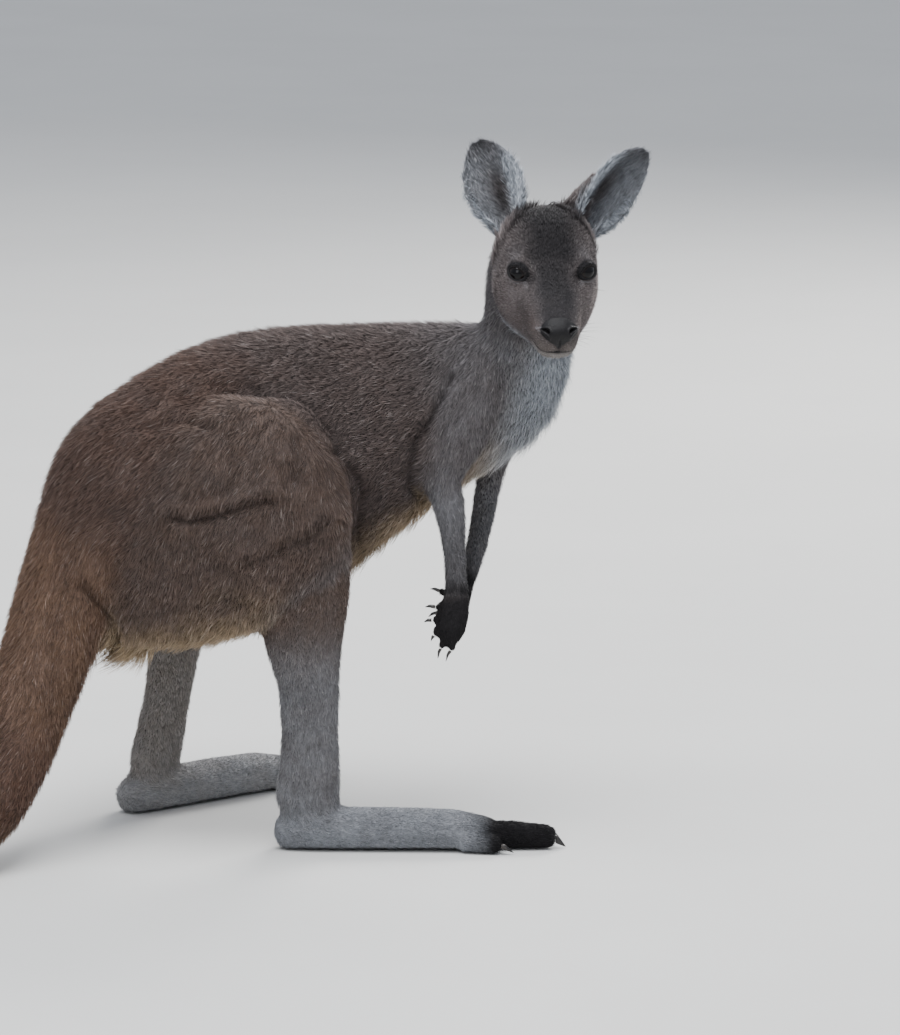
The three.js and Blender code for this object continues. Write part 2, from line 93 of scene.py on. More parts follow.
def bump(value: Array, centre: float, width: float) -> Array:
    """A bell of height 1 round a centre."""
    return np.exp(-(((value - centre) / width) ** 2))


def unit(vectors: Array) -> Array:
    """The vectors at length 1."""
    return vectors / np.maximum(np.linalg.norm(vectors, axis=-1, keepdims=True), 1e-12)


def across(vectors: Array, normals: Array) -> Array:
    """What is left of the vectors in the plane across the normals."""
    return vectors - normals * (vectors * normals).sum(1, keepdims=True)


def value_noise(points: Array, scale: float, seed: int) -> Array:
    """Smooth noise over space.

    Args:
        points: places, N x 3.
        scale: size of a swell, in metres.
        seed: which noise.

    Returns:
        A value from -1 to 1 at each place.
    """
    cell = np.floor(points / scale).astype(np.int64)
    part = points / scale - cell
    part = part * part * (3.0 - 2.0 * part)
    total = np.zeros(len(points))
    for corner in np.ndindex(2, 2, 2):
        key = cell + np.array(corner)
        mixed = (key[:, 0] * 73856093) ^ (key[:, 1] * 19349663) ^ (key[:, 2] * 83492791) ^ (seed * 2654435761)
        mixed = (mixed ^ (mixed >> 13)) * 1274126177
        value = ((mixed ^ (mixed >> 16)) & 0xFFFF) / 32767.5 - 1.0
        weight = np.prod(np.where(np.array(corner) == 1, part, 1.0 - part), axis=1)
        total += weight * value
    return total


# ---- What grows on each part ----


@dataclass(frozen=True)
class Pelt:
    """The skin and coat of one kind of part. Lengths are in millimetres.

    markings are the shares of rufous, buff, ashy and dark hair over the grey-brown ground.
    """

    depth: float
    length: float
    width: float
    density: float
    evening: float
    markings: tuple[float, float, float, float]
    lie: tuple[float, float, float]


PELTS = {
    "head": Pelt(1.6, 4.6, 0.46, 2.5, 0.22, (0.12, 0.0, 0.1, 0.3), (0.0, 1.0, 0.5)),
    "ear": Pelt(0.8, 3.6, 0.36, 2.2, 0.02, (0.05, 0.0, 0.25, 0.25), (0.0, 0.0, 1.0)),
    "neck": Pelt(4.0, 9.5, 0.5, 1.6, 0.75, (0.0, 0.0, 0.28, 0.0), (-0.15, 0.15, -1.0)),
    "chest": Pelt(4.5, 11.0, 0.6, 1.2, 0.9, (0.05, 0.0, 0.15, 0.0), (-0.5, -0.05, -0.85)),
    "belly": Pelt(4.5, 11.5, 0.65, 1.0, 1.0, (0.12, 0.0, 0.0, 0.1), (-0.92, -0.28, -0.3)),
    "rump": Pelt(4.5, 11.5, 0.65, 1.0, 1.0, (0.45, 0.0, 0.0, 0.14), (-0.72, -0.42, -0.62)),
    "tail_base": Pelt(4.0, 10.5, 0.65, 1.0, 0.6, (0.75, 0.1, 0.0, 0.0), (-0.25, -0.35, -0.9)),
    "tail_middle": Pelt(3.5, 10.5, 0.65, 1.0, 0.45, (0.7, 0.0, 0.0, 0.12), (-0.5, -0.6, -0.6)),
    "tail_end": Pelt(3.0, 10.0, 0.65, 1.0, 0.15, (0.4, 0.0, 0.0, 0.5), (-0.8, -0.6, -0.1)),
    "thigh": Pelt(4.0, 10.5, 0.62, 1.05, 1.0, (0.28, 0.04, 0.0, 0.06), (-0.35, 0.0, -0.94)),
    "shank": Pelt(2.2, 6.5, 0.5, 1.4, 0.35, (0.0, 0.05, 0.42, 0.0), (0.0, 0.0, -1.0)),
    "foot": Pelt(1.2, 4.6, 0.42, 2.0, 0.1, (0.0, 0.05, 0.72, 0.0), (1.0, 0.0, -0.1)),
    "upper_arm": Pelt(3.5, 9.0, 0.55, 1.3, 0.4, (0.05, 0.0, 0.2, 0.0), (-0.2, -0.1, -1.0)),
    "forearm": Pelt(1.8, 6.0, 0.46, 1.6, 0.15, (0.0, 0.0, 0.36, 0.05), (0.1, -0.15, -1.0)),
    "hand": Pelt(0.7, 3.0, 0.36, 2.0, 0.03, (0.0, 0.0, 0.0, 0.97), (-0.2, -0.1, -1.0)),
}
FOOT_YAW = {"right": 0.0, "left": 40.0}


def stem(node: str) -> str:
    """The kind of part that a node is: its name without the side."""
    return node.removesuffix("_right").removesuffix("_left")


def side_of(node: str) -> str:
    """The side that a node is on: right, left or middle."""
    return node.rsplit("_", 1)[-1] if node.endswith(("_right", "_left")) else "middle"


@dataclass(frozen=True)
class EarFrame:
    """An ear's own axes: from its root to its tip, out of its hollow, and from edge to edge."""

    root: tuple[float, float, float]
    tip: tuple[float, float, float]
    opening: tuple[float, float, float]
    width: float
    inward: float

    def axes(self) -> tuple[Array, Array, Array]:
        """The unit axes along the ear, out of its hollow, and across it towards the crown."""
        along = unit(np.subtract(self.tip, self.root))
        out = np.array(self.opening)
        out = unit(out - along * (out @ along))
        return along, out, np.cross(along, out) * self.inward

    def local(self, points: Array) -> tuple[Array, Array]:
        """How far each point is along the ear, from 0 to 1, and across it, from -1 to 1 at the crown."""
        along, _, inward = self.axes()
        offset = points - np.array(self.root)
        length = np.linalg.norm(np.subtract(self.tip, self.root))
        return offset @ along / length, offset @ inward / (self.width / 2)


EARS = {
    "right": EarFrame((0.3804, 0.0939, 0.602), (0.3414, 0.1359, 0.695), (-0.15, -0.97, 0.1), 0.061, 1.0),
    "left": EarFrame((0.4324, 0.1019, 0.605), (0.5124, 0.1259, 0.684), (0.5, -0.8, -0.1), 0.057, -1.0),
}


@dataclass(frozen=True)
class HeadFrame:
    """The head's own axes: forward down the muzzle, to its left, and up from the muzzle."""

    origin: Array
    forward: Array
    left: Array
    up: Array
    eyes: dict[str, Array]
    gaze: tuple[float, float, float] = (0.74, 0.47, 0.48)

    @classmethod
    def from_eyes(cls, pitch: float = 32.0, forward: float = 10 * MM, up: float = 8.5 * MM) -> "HeadFrame":
        """Places the head from its two eyes.

        Args:
            pitch: how far the muzzle points below the horizon, in degrees.
            forward: how far the eyes lie in front of the origin.
            up: how far they lie above it.

        Returns:
            The head's frame.
        """
        eyes = {side: np.array(sum(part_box(f"eye_{side}"), Vector()) / 2) for side in SIDES}
        left = unit(eyes["left"] - eyes["right"])
        level = np.array([left[1], -left[0], 0.0])
        cos, sin = math.cos(math.radians(pitch)), math.sin(math.radians(pitch))
        ahead = level * cos - np.array([0.0, 0.0, sin])
        above = level * sin + np.array([0.0, 0.0, cos])
        middle = (eyes["left"] + eyes["right"]) / 2
        return cls(middle - ahead * forward - above * up, ahead, left, above, eyes)

    def local(self, points: Array) -> tuple[Array, Array, Array]:
        """How far each point is forward, left and up in the head, in millimetres."""
        offset = (points - self.origin) / MM
        return offset @ self.forward, offset @ self.left, offset @ self.up

    def direction(self, forward: float, left: float, up: float) -> Array:
        """A unit direction given in the head's axes."""
        return unit(self.forward * forward + self.left * left + self.up * up)

    def eye_axes(self, side: str) -> tuple[Array, Array, Array]:
        """One eye's axes: where it looks, towards the nose along the lids, and up across them."""
        ahead, aside, above = self.gaze
        gaze = self.direction(ahead, SIDES[side] * aside, above)
        nose = self.direction(0.75, -SIDES[side] * 0.6, 0.1)
        level = unit(nose - gaze * (nose @ gaze))
        return gaze, level, np.cross(level, gaze) * SIDES[side]


# ---- The skin ----


class Web:
    """Which vertices of a mesh are joined, so that values can spread along the joins."""

    def __init__(self, count: int, triangles: Array) -> None:
        """Finds the joins of a triangle mesh.

        Args:
            count: how many vertices it has.
            triangles: its faces, N x 3.
        """
        pairs = np.concatenate([triangles[:, [0, 1]], triangles[:, [1, 2]], triangles[:, [2, 0]]])
        keys = np.unique(np.sort(pairs, axis=1) @ np.array([count, 1], dtype=np.int64))
        self.count = count
        self.first, self.second = keys // count, keys % count
        joins = np.bincount(self.first, minlength=count) + np.bincount(self.second, minlength=count)
        self.joins = np.maximum(joins, 1).astype(float)

    def mean(self, values: Array) -> Array:
        """The mean of each vertex's neighbours, for values of N or N x k."""
        columns = values.reshape(self.count, -1)
        total = np.empty_like(columns)
        for k in range(columns.shape[1]):
            column = columns[:, k]
            total[:, k] = np.bincount(self.first, column[self.second], self.count)
            total[:, k] += np.bincount(self.second, column[self.first], self.count)
        return (total / self.joins[:, None]).reshape(values.shape)

    def spread(self, values: Array, rounds: int, rate: Array | float = 0.6) -> Array:
        """The values after each vertex has moved towards its neighbours' mean, some rounds long."""
        values = values.astype(float)
        for _ in range(rounds):
            values = values + rate * (self.mean(values) - values)
        return values


def vertex_normals(points: Array, triangles: Array) -> Array:
    """The unit normal at each vertex, weighted by the area of the faces round it."""
    corners = points[triangles]
    faces = np.cross(corners[:, 1] - corners[:, 0], corners[:, 2] - corners[:, 0])
    normals = np.zeros_like(points)
    for k in range(3):
        for axis in range(3):
            normals[:, axis] += np.bincount(triangles[:, k], faces[:, axis], len(points))
    return unit(normals)


def mesh_arrays(mesh: bpy.types.Mesh) -> tuple[Array, Array]:
    """A mesh's vertices and triangles as arrays."""
    mesh.calc_loop_triangles()
    points = np.empty(len(mesh.vertices) * 3, np.float32)
    mesh.vertices.foreach_get("co", points)
    triangles = np.empty(len(mesh.loop_triangles) * 3, np.int32)
    mesh.loop_triangles.foreach_get("vertices", triangles)
    return points.reshape(-1, 3).astype(float), triangles.reshape(-1, 3)


def new_piece(name: str, points: Array, faces: Array, smooth_shading: bool = True) -> bpy.types.Object:
    """Makes an object from arrays.

    Args:
        name: the piece's name.
        points: its vertices, N x 3.
        faces: its triangles, M x 3.
        smooth_shading: whether its faces are shaded smooth.

    Returns:
        The object, linked to the scene.
    """
    mesh = bpy.data.meshes.new(name)
    mesh.vertices.add(len(points))
    mesh.vertices.foreach_set("co", np.ascontiguousarray(points, np.float32).ravel())
    mesh.loops.add(faces.size)
    mesh.loops.foreach_set("vertex_index", np.ascontiguousarray(faces, np.int32).ravel())
    mesh.polygons.add(len(faces))
    mesh.polygons.foreach_set("loop_start", np.arange(0, faces.size, 3, dtype=np.int32))
    mesh.update(calc_edges=True)
    mesh.polygons.foreach_set("use_smooth", np.full(len(faces), smooth_shading))
    piece = bpy.data.objects.new(name, mesh)
    bpy.context.scene.collection.objects.link(piece)
    return piece


def put_field(piece: bpy.types.Object, name: str, values: Array) -> None:
    """Stores four numbers at each vertex of a piece, for its material to read."""
    layer = piece.data.color_attributes.new(name, "FLOAT_COLOR", "POINT")
    layer.data.foreach_set("color", np.ascontiguousarray(values, np.float32).ravel())


def baked(piece: bpy.types.Object) -> tuple[Array, Array]:
    """The arrays of a piece with its modifiers done. The piece itself is then removed."""
    done = piece.evaluated_get(bpy.context.evaluated_depsgraph_get())
    arrays = mesh_arrays(done.to_mesh())
    done.to_mesh_clear()
    bpy.data.objects.remove(piece)
    return arrays


@dataclass
class Solids:
    """The solids of flesh as one triangle mesh whose faces know their node."""

    nodes: list[str]
    points: Array = field(init=False)
    triangles: Array = field(init=False)
    owner: Array = field(init=False)
    tree: BVHTree = field(init=False)

    def __post_init__(self) -> None:
        """Welds each node's mesh and joins them all."""
        points, triangles, owner, start = [], [], [], 0
        for index, node in enumerate(self.nodes):
            raw, faces = mesh_arrays(bpy.data.objects[node].data)
            _, first, merged = np.unique(np.round(raw / 1e-6), axis=0, return_index=True, return_inverse=True)
            points.append(raw[first])
            triangles.append(merged.ravel()[faces] + start)
            owner.append(np.full(len(faces), index))
            start += len(first)
        self.points = np.concatenate(points)
        self.triangles = np.concatenate(triangles)
        self.owner = np.concatenate(owner)
        self.tree = BVHTree.FromPolygons(self.points.tolist(), self.triangles.tolist())

    def nearest(self, points: Array) -> tuple[Array, Array]:
        """For each point, the node nearest to it and how far it lies outside the solids."""
        owner = np.empty(len(points), np.int32)
        outside = np.empty(len(points))
        for i, point in enumerate(points.tolist()):
            place, normal, face, distance = self.tree.find_nearest(point)
            owner[i] = self.owner[face]
            outside[i] = math.copysign(distance, (Vector(point) - place).dot(normal))
        return owner, outside


@dataclass
class Skin:
    """One skin over all the flesh: evened out, set in by the coat's depth, and modelled."""

    frame: dict
    head: HeadFrame
    voxel: float = 1.9 * MM
    bridge: float = 0.5 * MM
    evening_rounds: int = 110
    blending_rounds: int = 40
    eye_radius: float = 12 * MM
    points: Array = field(init=False)
    triangles: Array = field(init=False)
    owner: Array = field(init=False)
    solids: Solids = field(init=False)

    def __post_init__(self) -> None:
        """Gathers the nodes of flesh."""
        flesh = sorted(n for n in self.frame["nodes"] if not n.startswith(("claw", "eye")))
        self.solids = Solids(flesh)

    @property
    def nodes(self) -> list[str]:
        """The nodes of flesh that the skin stands for."""
        return self.solids.nodes

    def by_pelt(self, name: str) -> Array:
        """A value of each vertex's pelt, by the name of the pelt's field."""
        table = np.array([getattr(PELTS[stem(n)], name) for n in self.nodes], dtype=float)
        return table[self.owner]

    def is_part(self, *stems: str) -> Array:
        """Which vertices belong to the named kinds of part."""
        return np.isin(self.owner, [i for i, n in enumerate(self.nodes) if stem(n) in stems])

    def wrap(self) -> None:
        """Wraps the solids, with the eyes among them, in one closed mesh of small even faces."""
        grown, faces, start = [], [], 0
        balls = Solids([f"eye_{side}" for side in SIDES])
        for solids, growth in ((self.solids, self.bridge), (balls, 2 * self.bridge)):
            grown.append(solids.points + vertex_normals(solids.points, solids.triangles) * growth)
            faces.append(solids.triangles + start)
            start += len(solids.points)
        piece = new_piece("wrap", np.concatenate(grown), np.concatenate(faces))
        remesh = piece.modifiers.new("wrap", "REMESH")
        remesh.mode = "VOXEL"
        remesh.voxel_size = self.voxel
        self.points, self.triangles = baked(piece)
        self.owner, _ = self.solids.nearest(self.points)
        LOG.info("wrap: %d vertices", len(self.points))

    def even_out(self) -> None:
        """Smooths away the facets, less where the part is thin."""
        web = Web(len(self.points), self.triangles)
        rate = web.spread(self.by_pelt("evening"), 12) * 0.7
        self.points = web.spread(self.points, self.evening_rounds, rate[:, None])

    def thin_out(self, share: float = 0.2) -> None:
        """Leaves fewer faces on the trunk and legs, where the skin is plain."""
        piece = new_piece("thin", self.points, self.triangles)
        group = piece.vertex_groups.new(name="plain")
        plain = ~self.is_part("head", "ear", "hand")
        group.add(np.flatnonzero(plain).tolist(), 1.0, "REPLACE")
        decimate = piece.modifiers.new("thin", "DECIMATE")
        decimate.ratio = share
        decimate.vertex_group = group.name
        decimate.vertex_group_factor = 1.0
        self.points, self.triangles = baked(piece)
        self.owner, _ = self.solids.nearest(self.points)
        LOG.info("thin: %d vertices, %d faces", len(self.points), len(self.triangles))

    def set_in(self) -> None:
        """Fills the creases between trunk and limbs, then sets the skin in by the coat's depth."""
        web = Web(len(self.points), self.triangles)
        plain = self.is_part("neck", "chest", "belly", "rump", "thigh", "upper_arm", "tail_base")
        rate = web.spread(plain.astype(float), 8) * 0.7
        self.points = web.spread(self.points, self.blending_rounds, rate[:, None])
        depth = web.spread(self.by_pelt("depth") * MM, 10)
        _, outside = self.solids.nearest(self.points)
        sunk = np.where(plain, np.minimum(outside, 0.0), outside)
        eyes = [np.linalg.norm(self.points - eye, axis=1) / MM for eye in self.head.eyes.values()]
        shift = web.spread(-(sunk + depth), 14) * smooth(13.0, 19.0, np.minimum(*eyes))
        normals = web.spread(vertex_normals(self.points, self.triangles), 4)
        self.points = self.points + unit(normals) * shift[:, None]

    def refine(self, chosen: Array) -> None:
        """Halves the edges between the chosen vertices."""
        piece = new_piece("fine", self.points, self.triangles)
        mesh = bmesh.new()
        mesh.from_mesh(piece.data)
        mesh.verts.ensure_lookup_table()
        edges = [e for e in mesh.edges if chosen[e.verts[0].index] and chosen[e.verts[1].index]]
        bmesh.ops.subdivide_edges(mesh, edges=edges, cuts=1, use_grid_fill=True)
        bmesh.ops.triangulate(mesh, faces=mesh.faces)
        mesh.to_mesh(piece.data)
        mesh.free()
        self.points, self.triangles = mesh_arrays(piece.data)
        bpy.data.objects.remove(piece)
        self.owner, _ = self.solids.nearest(self.points)

    def push(self, amount: Array) -> None:
        """Moves each vertex along its normal, in millimetres."""
        normals = vertex_normals(self.points, self.triangles)
        self.points = self.points + normals * (amount * MM)[:, None]

    def build(self) -> None:
        """Makes the whole skin's shape."""
        self.wrap()
        self.even_out()
        self.thin_out()
        self.set_in()
        folds = Folds(self)
        folds.refine()
        folds.model()
        face = Face(self)
        face.refine()
        face.model()
        LOG.info("skin: %d vertices, %d faces", len(self.points), len(self.triangles))

    def unwrap(self) -> bpy.types.Object:
        """Makes the skin's piece and unwraps it.

        Returns:
            The piece, with its unwrap in a UV map.
        """
        piece = new_piece("skin", self.points, self.triangles)
        bpy.context.view_layer.objects.active = piece
        bpy.ops.object.select_all(action="DESELECT")
        piece.select_set(True)
        piece.data.uv_layers.new(name="OFBake")
        bpy.ops.object.mode_set(mode="EDIT")
        bpy.ops.mesh.select_all(action="SELECT")
        bpy.ops.uv.smart_project(angle_limit=math.radians(66), island_margin=0.004)
        bpy.ops.object.mode_set(mode="OBJECT")
        return piece


@dataclass(frozen=True)
class Fold:
    """One fold of the right side: its line, and in millimetres its depth, width and swell above.

    The line runs in millimetres ahead of and above the trunk's middle, seen from a little above.
    """

    line: tuple[tuple[float, float], ...]
    depth: float
    width: float
    swell: float
    on_thigh: bool = True


@dataclass
class Folds:
    """The folds of thigh, flank, shoulder and tail, pressed into the skin of both sides."""

    skin: Skin
    middle: tuple[float, float, float] = (0.315447, 0.121882, 0.3165)
    tilt: float = 10.5
    parts: tuple[str, ...] = ("neck", "chest", "belly", "rump", "thigh", "shank", "upper_arm", "tail_base")
    # The fold depth, in millimetres, at which the painted shade at a fold's bottom is full.
    full_shade_depth: float = 6.0
    wrinkle_height: float = 0.9
    folds: tuple[Fold, ...] = (
        Fold(((-272, 1), (-252, -3), (-225, 4), (-200, 12), (-175, 17)), 8.0, 4.5, 5.0),
        Fold(((-200, -45), (-175, -35), (-153, -25), (-135, -17), (-120, -3)), 4.5, 5.0, 4.0),
        Fold(((-228, 122), (-195, 120), (-153, 117), (-135, 107), (-115, 80), (-108, 65)), 4.0, 4.5, -3.0),
        Fold(((-152, 74), (-148, 57), (-151, 40)), 3.5, 8.0, 0.0),
        Fold(((-118, 65), (-95, 47), (-85, 27), (-90, -3), (-88, -28)), 3.5, 4.0, 2.0),
        Fold(
            ((2, 140), (-10, 115), (-23, 90), (-33, 75), (-38, 52), (-38, 30), (-26, 17)),
            6.0, 4.5, -3.0, False,
        ),
        Fold(((-362, -66), (-343, -85), (-330, -105), (-325, -120)), 6.0, 5.0, 2.5, False),
        Fold(((-236, 133), (-212, 130), (-188, 128)), 2.2, 3.0, 2.0),
        Fold(((-300, 88), (-262, 95), (-232, 88)), 2.4, 4.5, 2.0),
        Fold(((-245, -84), (-215, -76), (-190, -80)), 3.0, 5.5, 2.5),
    )

    def seen(self, points: Array) -> Array:
        """Where points lie ahead of and above the middle, in millimetres, seen from the right."""
        offset = (points - np.array(self.middle)) / MM
        angle = math.radians(self.tilt)
        above = offset[:, 2] * math.cos(angle) + offset[:, 1] * math.sin(angle)
        return np.stack([offset[:, 0], above], axis=1)

    def gaps(self, fold: Fold) -> tuple[Array, Array]:
        """How far each vertex lies from a fold's line, and how far above it, in millimetres."""
        places = self.seen(self.skin.points)
        if fold.on_thigh:
            shift = (np.array(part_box("thigh_left")) - np.array(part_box("thigh_right"))).mean(axis=0)
            left = self.skin.points[:, 1] > self.middle[1]
            places[left] -= np.array([shift[0], shift[2]]) / MM
        nearest = np.full(len(places), 1e9)
        above = np.zeros(len(places))
        for start, end in zip(fold.line, fold.line[1:]):
            a, b = np.array(start, float), np.array(end, float)
            share = np.clip((places - a) @ (b - a) / ((b - a) @ (b - a)), 0.0, 1.0)
            offset = places - (a + share[:, None] * (b - a))
            gap = np.linalg.norm(offset, axis=1)
            closer = gap < nearest
            nearest = np.where(closer, gap, nearest)
            above = np.where(closer, gap * np.sign(offset[:, 1]), above)
        return nearest, above

    def facing(self) -> Array:
        """How much each vertex of the trunk and limbs faces a side."""
        normals = vertex_normals(self.skin.points, self.skin.triangles)
        trunk = self.skin.is_part(*self.parts)
        outward = np.where(self.skin.points[:, 1] > self.middle[1], normals[:, 1], -normals[:, 1])
        return smooth(-0.05, 0.35, outward) * trunk

    def creases(self) -> Array:
        """How near each vertex is to the bottom of a fold, from 0 to 1, which sets the painted shade in the
        folds and their shorter hair.
        """
        near = np.zeros(len(self.skin.points))
        for fold in self.folds:
            strength = min(fold.depth / self.full_shade_depth, 1.0)
            near = np.maximum(near, strength * bump(self.gaps(fold)[0], 0.0, 0.8 * fold.width))
        return near * self.facing()

    def refine(self) -> None:
        """Gives the skin smaller faces along the folds."""
        near = np.zeros(len(self.skin.points), bool)
        for fold in self.folds:
            near |= self.gaps(fold)[0] < 2.2 * fold.width
        self.skin.refine(near & (self.facing() > 0.05))

    def model(self) -> None:
        """Presses the folds in and swells the skin beside them."""
        facing = self.facing()
        amount = np.zeros(len(self.skin.points))
        for fold in self.folds:
            gap, above = self.gaps(fold)
            amount -= fold.depth * bump(gap, 0.0, fold.width)
            side = math.copysign(2.2 * fold.width, fold.swell)
            amount += abs(fold.swell) * bump(above, side, 1.4 * fold.width) * (gap < 6.0 * fold.width)
        wrinkle = value_noise(self.skin.points * (1.0, 1.0, 2.6), 0.03, 5)
        loose = self.skin.is_part("rump", "thigh", "belly", "chest")
        self.skin.push(amount * facing + self.wrinkle_height * wrinkle * loose)


@dataclass
class Face:
    """The eyes' sockets and lids, the nose and the mouth, modelled in the skin of the head.

    Lengths are in millimetres. The muzzle's end is modelled by the angle in degrees, from ahead
    towards above, round a centre inside it.
    """

    skin: Skin
    eye_radius: float = 12.0
    lid_angles: tuple[float, float] = (44.0, 27.0)
    muzzle_centre: tuple[float, float] = (72.0, -10.0)
    pad_angle: float = 21.0
    pad_reach: tuple[float, float] = (18.0, 54.0)
    nostril: tuple[float, float] = (12.2, 30.0)
    mouth_front: tuple[float, float] = (92.0, -28.0)
    mouth_corner: float = 46.0
    mouth_fall: float = 0.07

    def eye_gap(self) -> Array:
        """Each vertex's distance from the nearer eye's centre, in millimetres."""
        gaps = [np.linalg.norm(self.skin.points - eye, axis=1) for eye in self.skin.head.eyes.values()]
        return np.minimum(*gaps) / MM

    def muzzle_angle(self) -> Array:
        """Each vertex's angle round the centre of the muzzle's end, in degrees."""
        forward, _, up = self.skin.head.local(self.skin.points)
        return np.degrees(np.arctan2(up - self.muzzle_centre[1], forward - self.muzzle_centre[0]))

    def refine(self) -> None:
        """Gives the eyes and the muzzle's end smaller faces."""
        forward, _, _ = self.skin.head.local(self.skin.points)
        near = (self.eye_gap() < 21.0) | (forward > 68.0)
        self.skin.refine(near & self.skin.is_part("head"))
        near = (self.eye_gap() < 13.5) | (self.nostril_gap() < 2.2)
        self.skin.refine(near & self.skin.is_part("head"))

    def lid_place(self, side: str) -> tuple[Array, Array, Array]:
        """Where each vertex lies round one eye.

        Args:
            side: which eye.

        Returns:
            The direction from the eye's centre, the distance in millimetres, and how far out it
            lies from the middle of the lids' opening, which is 1 at the lids' edge.
        """
        skin = self.skin
        gaze, level, upright = skin.head.eye_axes(side)
        offset = (skin.points - skin.head.eyes[side]) / MM
        distance = np.linalg.norm(offset, axis=1)
        direction = unit(offset)
        along = np.degrees(np.arctan2(direction @ level, direction @ gaze))
        over = np.degrees(np.arctan2(direction @ upright, direction @ gaze))
        return direction, distance, np.hypot(along / self.lid_angles[0], over / self.lid_angles[1])

    def model_lids(self) -> None:
        """Opens the lids over each eye and rounds them down to its ball."""
        for side in SIDES:
            direction, distance, out = self.lid_place(side)
            lid = self.eye_radius + 0.9 + 0.9 * smooth(1.0, 1.3, out)
            tucked = self.eye_radius * 0.7
            target = tucked + (lid - tucked) * smooth(0.86, 1.02, out)
            share = (1.0 - smooth(1.45, 2.3, out)) * (distance < 24.0)
            fold = 0.8 * bump(out, 1.8, 0.2) * (distance < 24.0)
            radius = distance + share * (target - distance) - fold
            self.skin.points = self.skin.head.eyes[side] + direction * (radius * MM)[:, None]

    def pad_share(self) -> Array:
        """How much of each vertex is bare nose, from 0 to 1."""
        forward, left, _ = self.skin.head.local(self.skin.points)
        angle = self.muzzle_angle()
        reach = self.pad_reach[0] * (0.12 + 0.88 * smooth(-30.0, 20.0, angle) ** 1.3)
        out = (np.abs(left) / reach) ** 2.4 + (np.abs(angle - self.pad_angle) / self.pad_reach[1]) ** 2.4
        return (1.0 - smooth(0.86, 1.1, out)) * (forward > 66.0)

    def nostril_gap(self) -> Array:
        """How far each vertex lies from a nostril's middle, 1 at its edge."""
        _, left, _ = self.skin.head.local(self.skin.points)
        over = (self.muzzle_angle() - self.nostril[1]) * 0.38
        beside = np.abs(left) - self.nostril[0]
        along = 0.82 * beside + 0.57 * over
        through = -0.57 * beside + 0.82 * over + 0.09 * along**2
        return np.hypot(along / 4.4, through / 2.3)

    def mouth_gap(self) -> Array:
        """How far each vertex lies above the line of the mouth."""
        forward, _, up = self.skin.head.local(self.skin.points)
        return up - (self.mouth_front[1] - self.mouth_fall * (self.mouth_front[0] - forward))

    def model_nose(self) -> None:
        """Raises the bare nose, sinks its nostrils and parts the lip below it."""
        forward, left, _ = self.skin.head.local(self.skin.points)
        end = smooth(60.0, 72.0, forward)
        angle = self.muzzle_angle()
        nostril = self.nostril_gap()
        wing = bump(nostril, 1.5, 0.42)
        parting = bump(left, 0.0, 0.9) * smooth(14.0, -4.0, angle) * smooth(-44.0, -36.0, angle)
        lip = bump(np.abs(left), 9.0, 7.0) * bump(angle, -22.0, 17.0)
        amount = 0.9 * self.pad_share() + 0.8 * wing + 0.9 * lip - 1.3 * parting
        amount -= 4.8 * (1.0 - smooth(0.35, 1.1, nostril))
        self.skin.push(amount * end * self.skin.is_part("head"))

    def model_mouth(self) -> None:
        """Sinks the line of the mouth and sets the chin back under the upper lip."""
        forward, left, up = self.skin.head.local(self.skin.points)
        gap = self.mouth_gap()
        head = self.skin.is_part("head") * smooth(self.mouth_corner, self.mouth_corner + 8.0, forward)
        front = smooth(16.0, 9.0, np.abs(left))
        dip = 1.6 * front * bump(left, 0.0, 3.5)
        groove = bump(gap - dip, 0.0, 1.1 + 0.9 * front)
        self.skin.push(-(1.5 + 1.1 * front) * groove * head)
        chin = smooth(1.0, -3.0, gap) * smooth(64.0, 88.0, forward) * (up < 0)
        self.skin.points -= self.skin.head.forward * (2.6 * MM * chin * head)[:, None]

    def model_bones(self) -> None:
        """Swells and hollows: brow, cheek, jaw, whisker pad and the trough before the eye."""
        forward, left, up = self.skin.head.local(self.skin.points)
        side = np.abs(left)
        forms = [
            ((2.0, 33.0, 25.0), 10.0, 1.6),
            ((34.0, 26.0, 12.0), 13.0, -1.8),
            ((8.0, 46.0, -9.0), 14.0, 1.2),
            ((-12.0, 44.0, -36.0), 20.0, 1.5),
            ((74.0, 20.0, -13.0), 9.0, 1.3),
            ((52.0, 27.0, -20.0), 13.0, -1.4),
        ]
        amount = np.zeros(len(self.skin.points))
        for (f, s, u), reach, height in forms:
            gap = np.sqrt((forward - f) ** 2 + (side - s) ** 2 + (up - u) ** 2)
            amount += height * bump(gap, 0.0, reach)
        self.skin.push(amount * self.skin.is_part("head"))

    def model(self) -> None:
        """Models the whole face."""
        self.model_bones()
        self.model_lids()
        self.model_nose()
        self.model_mouth()


# ---- Markings and the lie of the coat ----


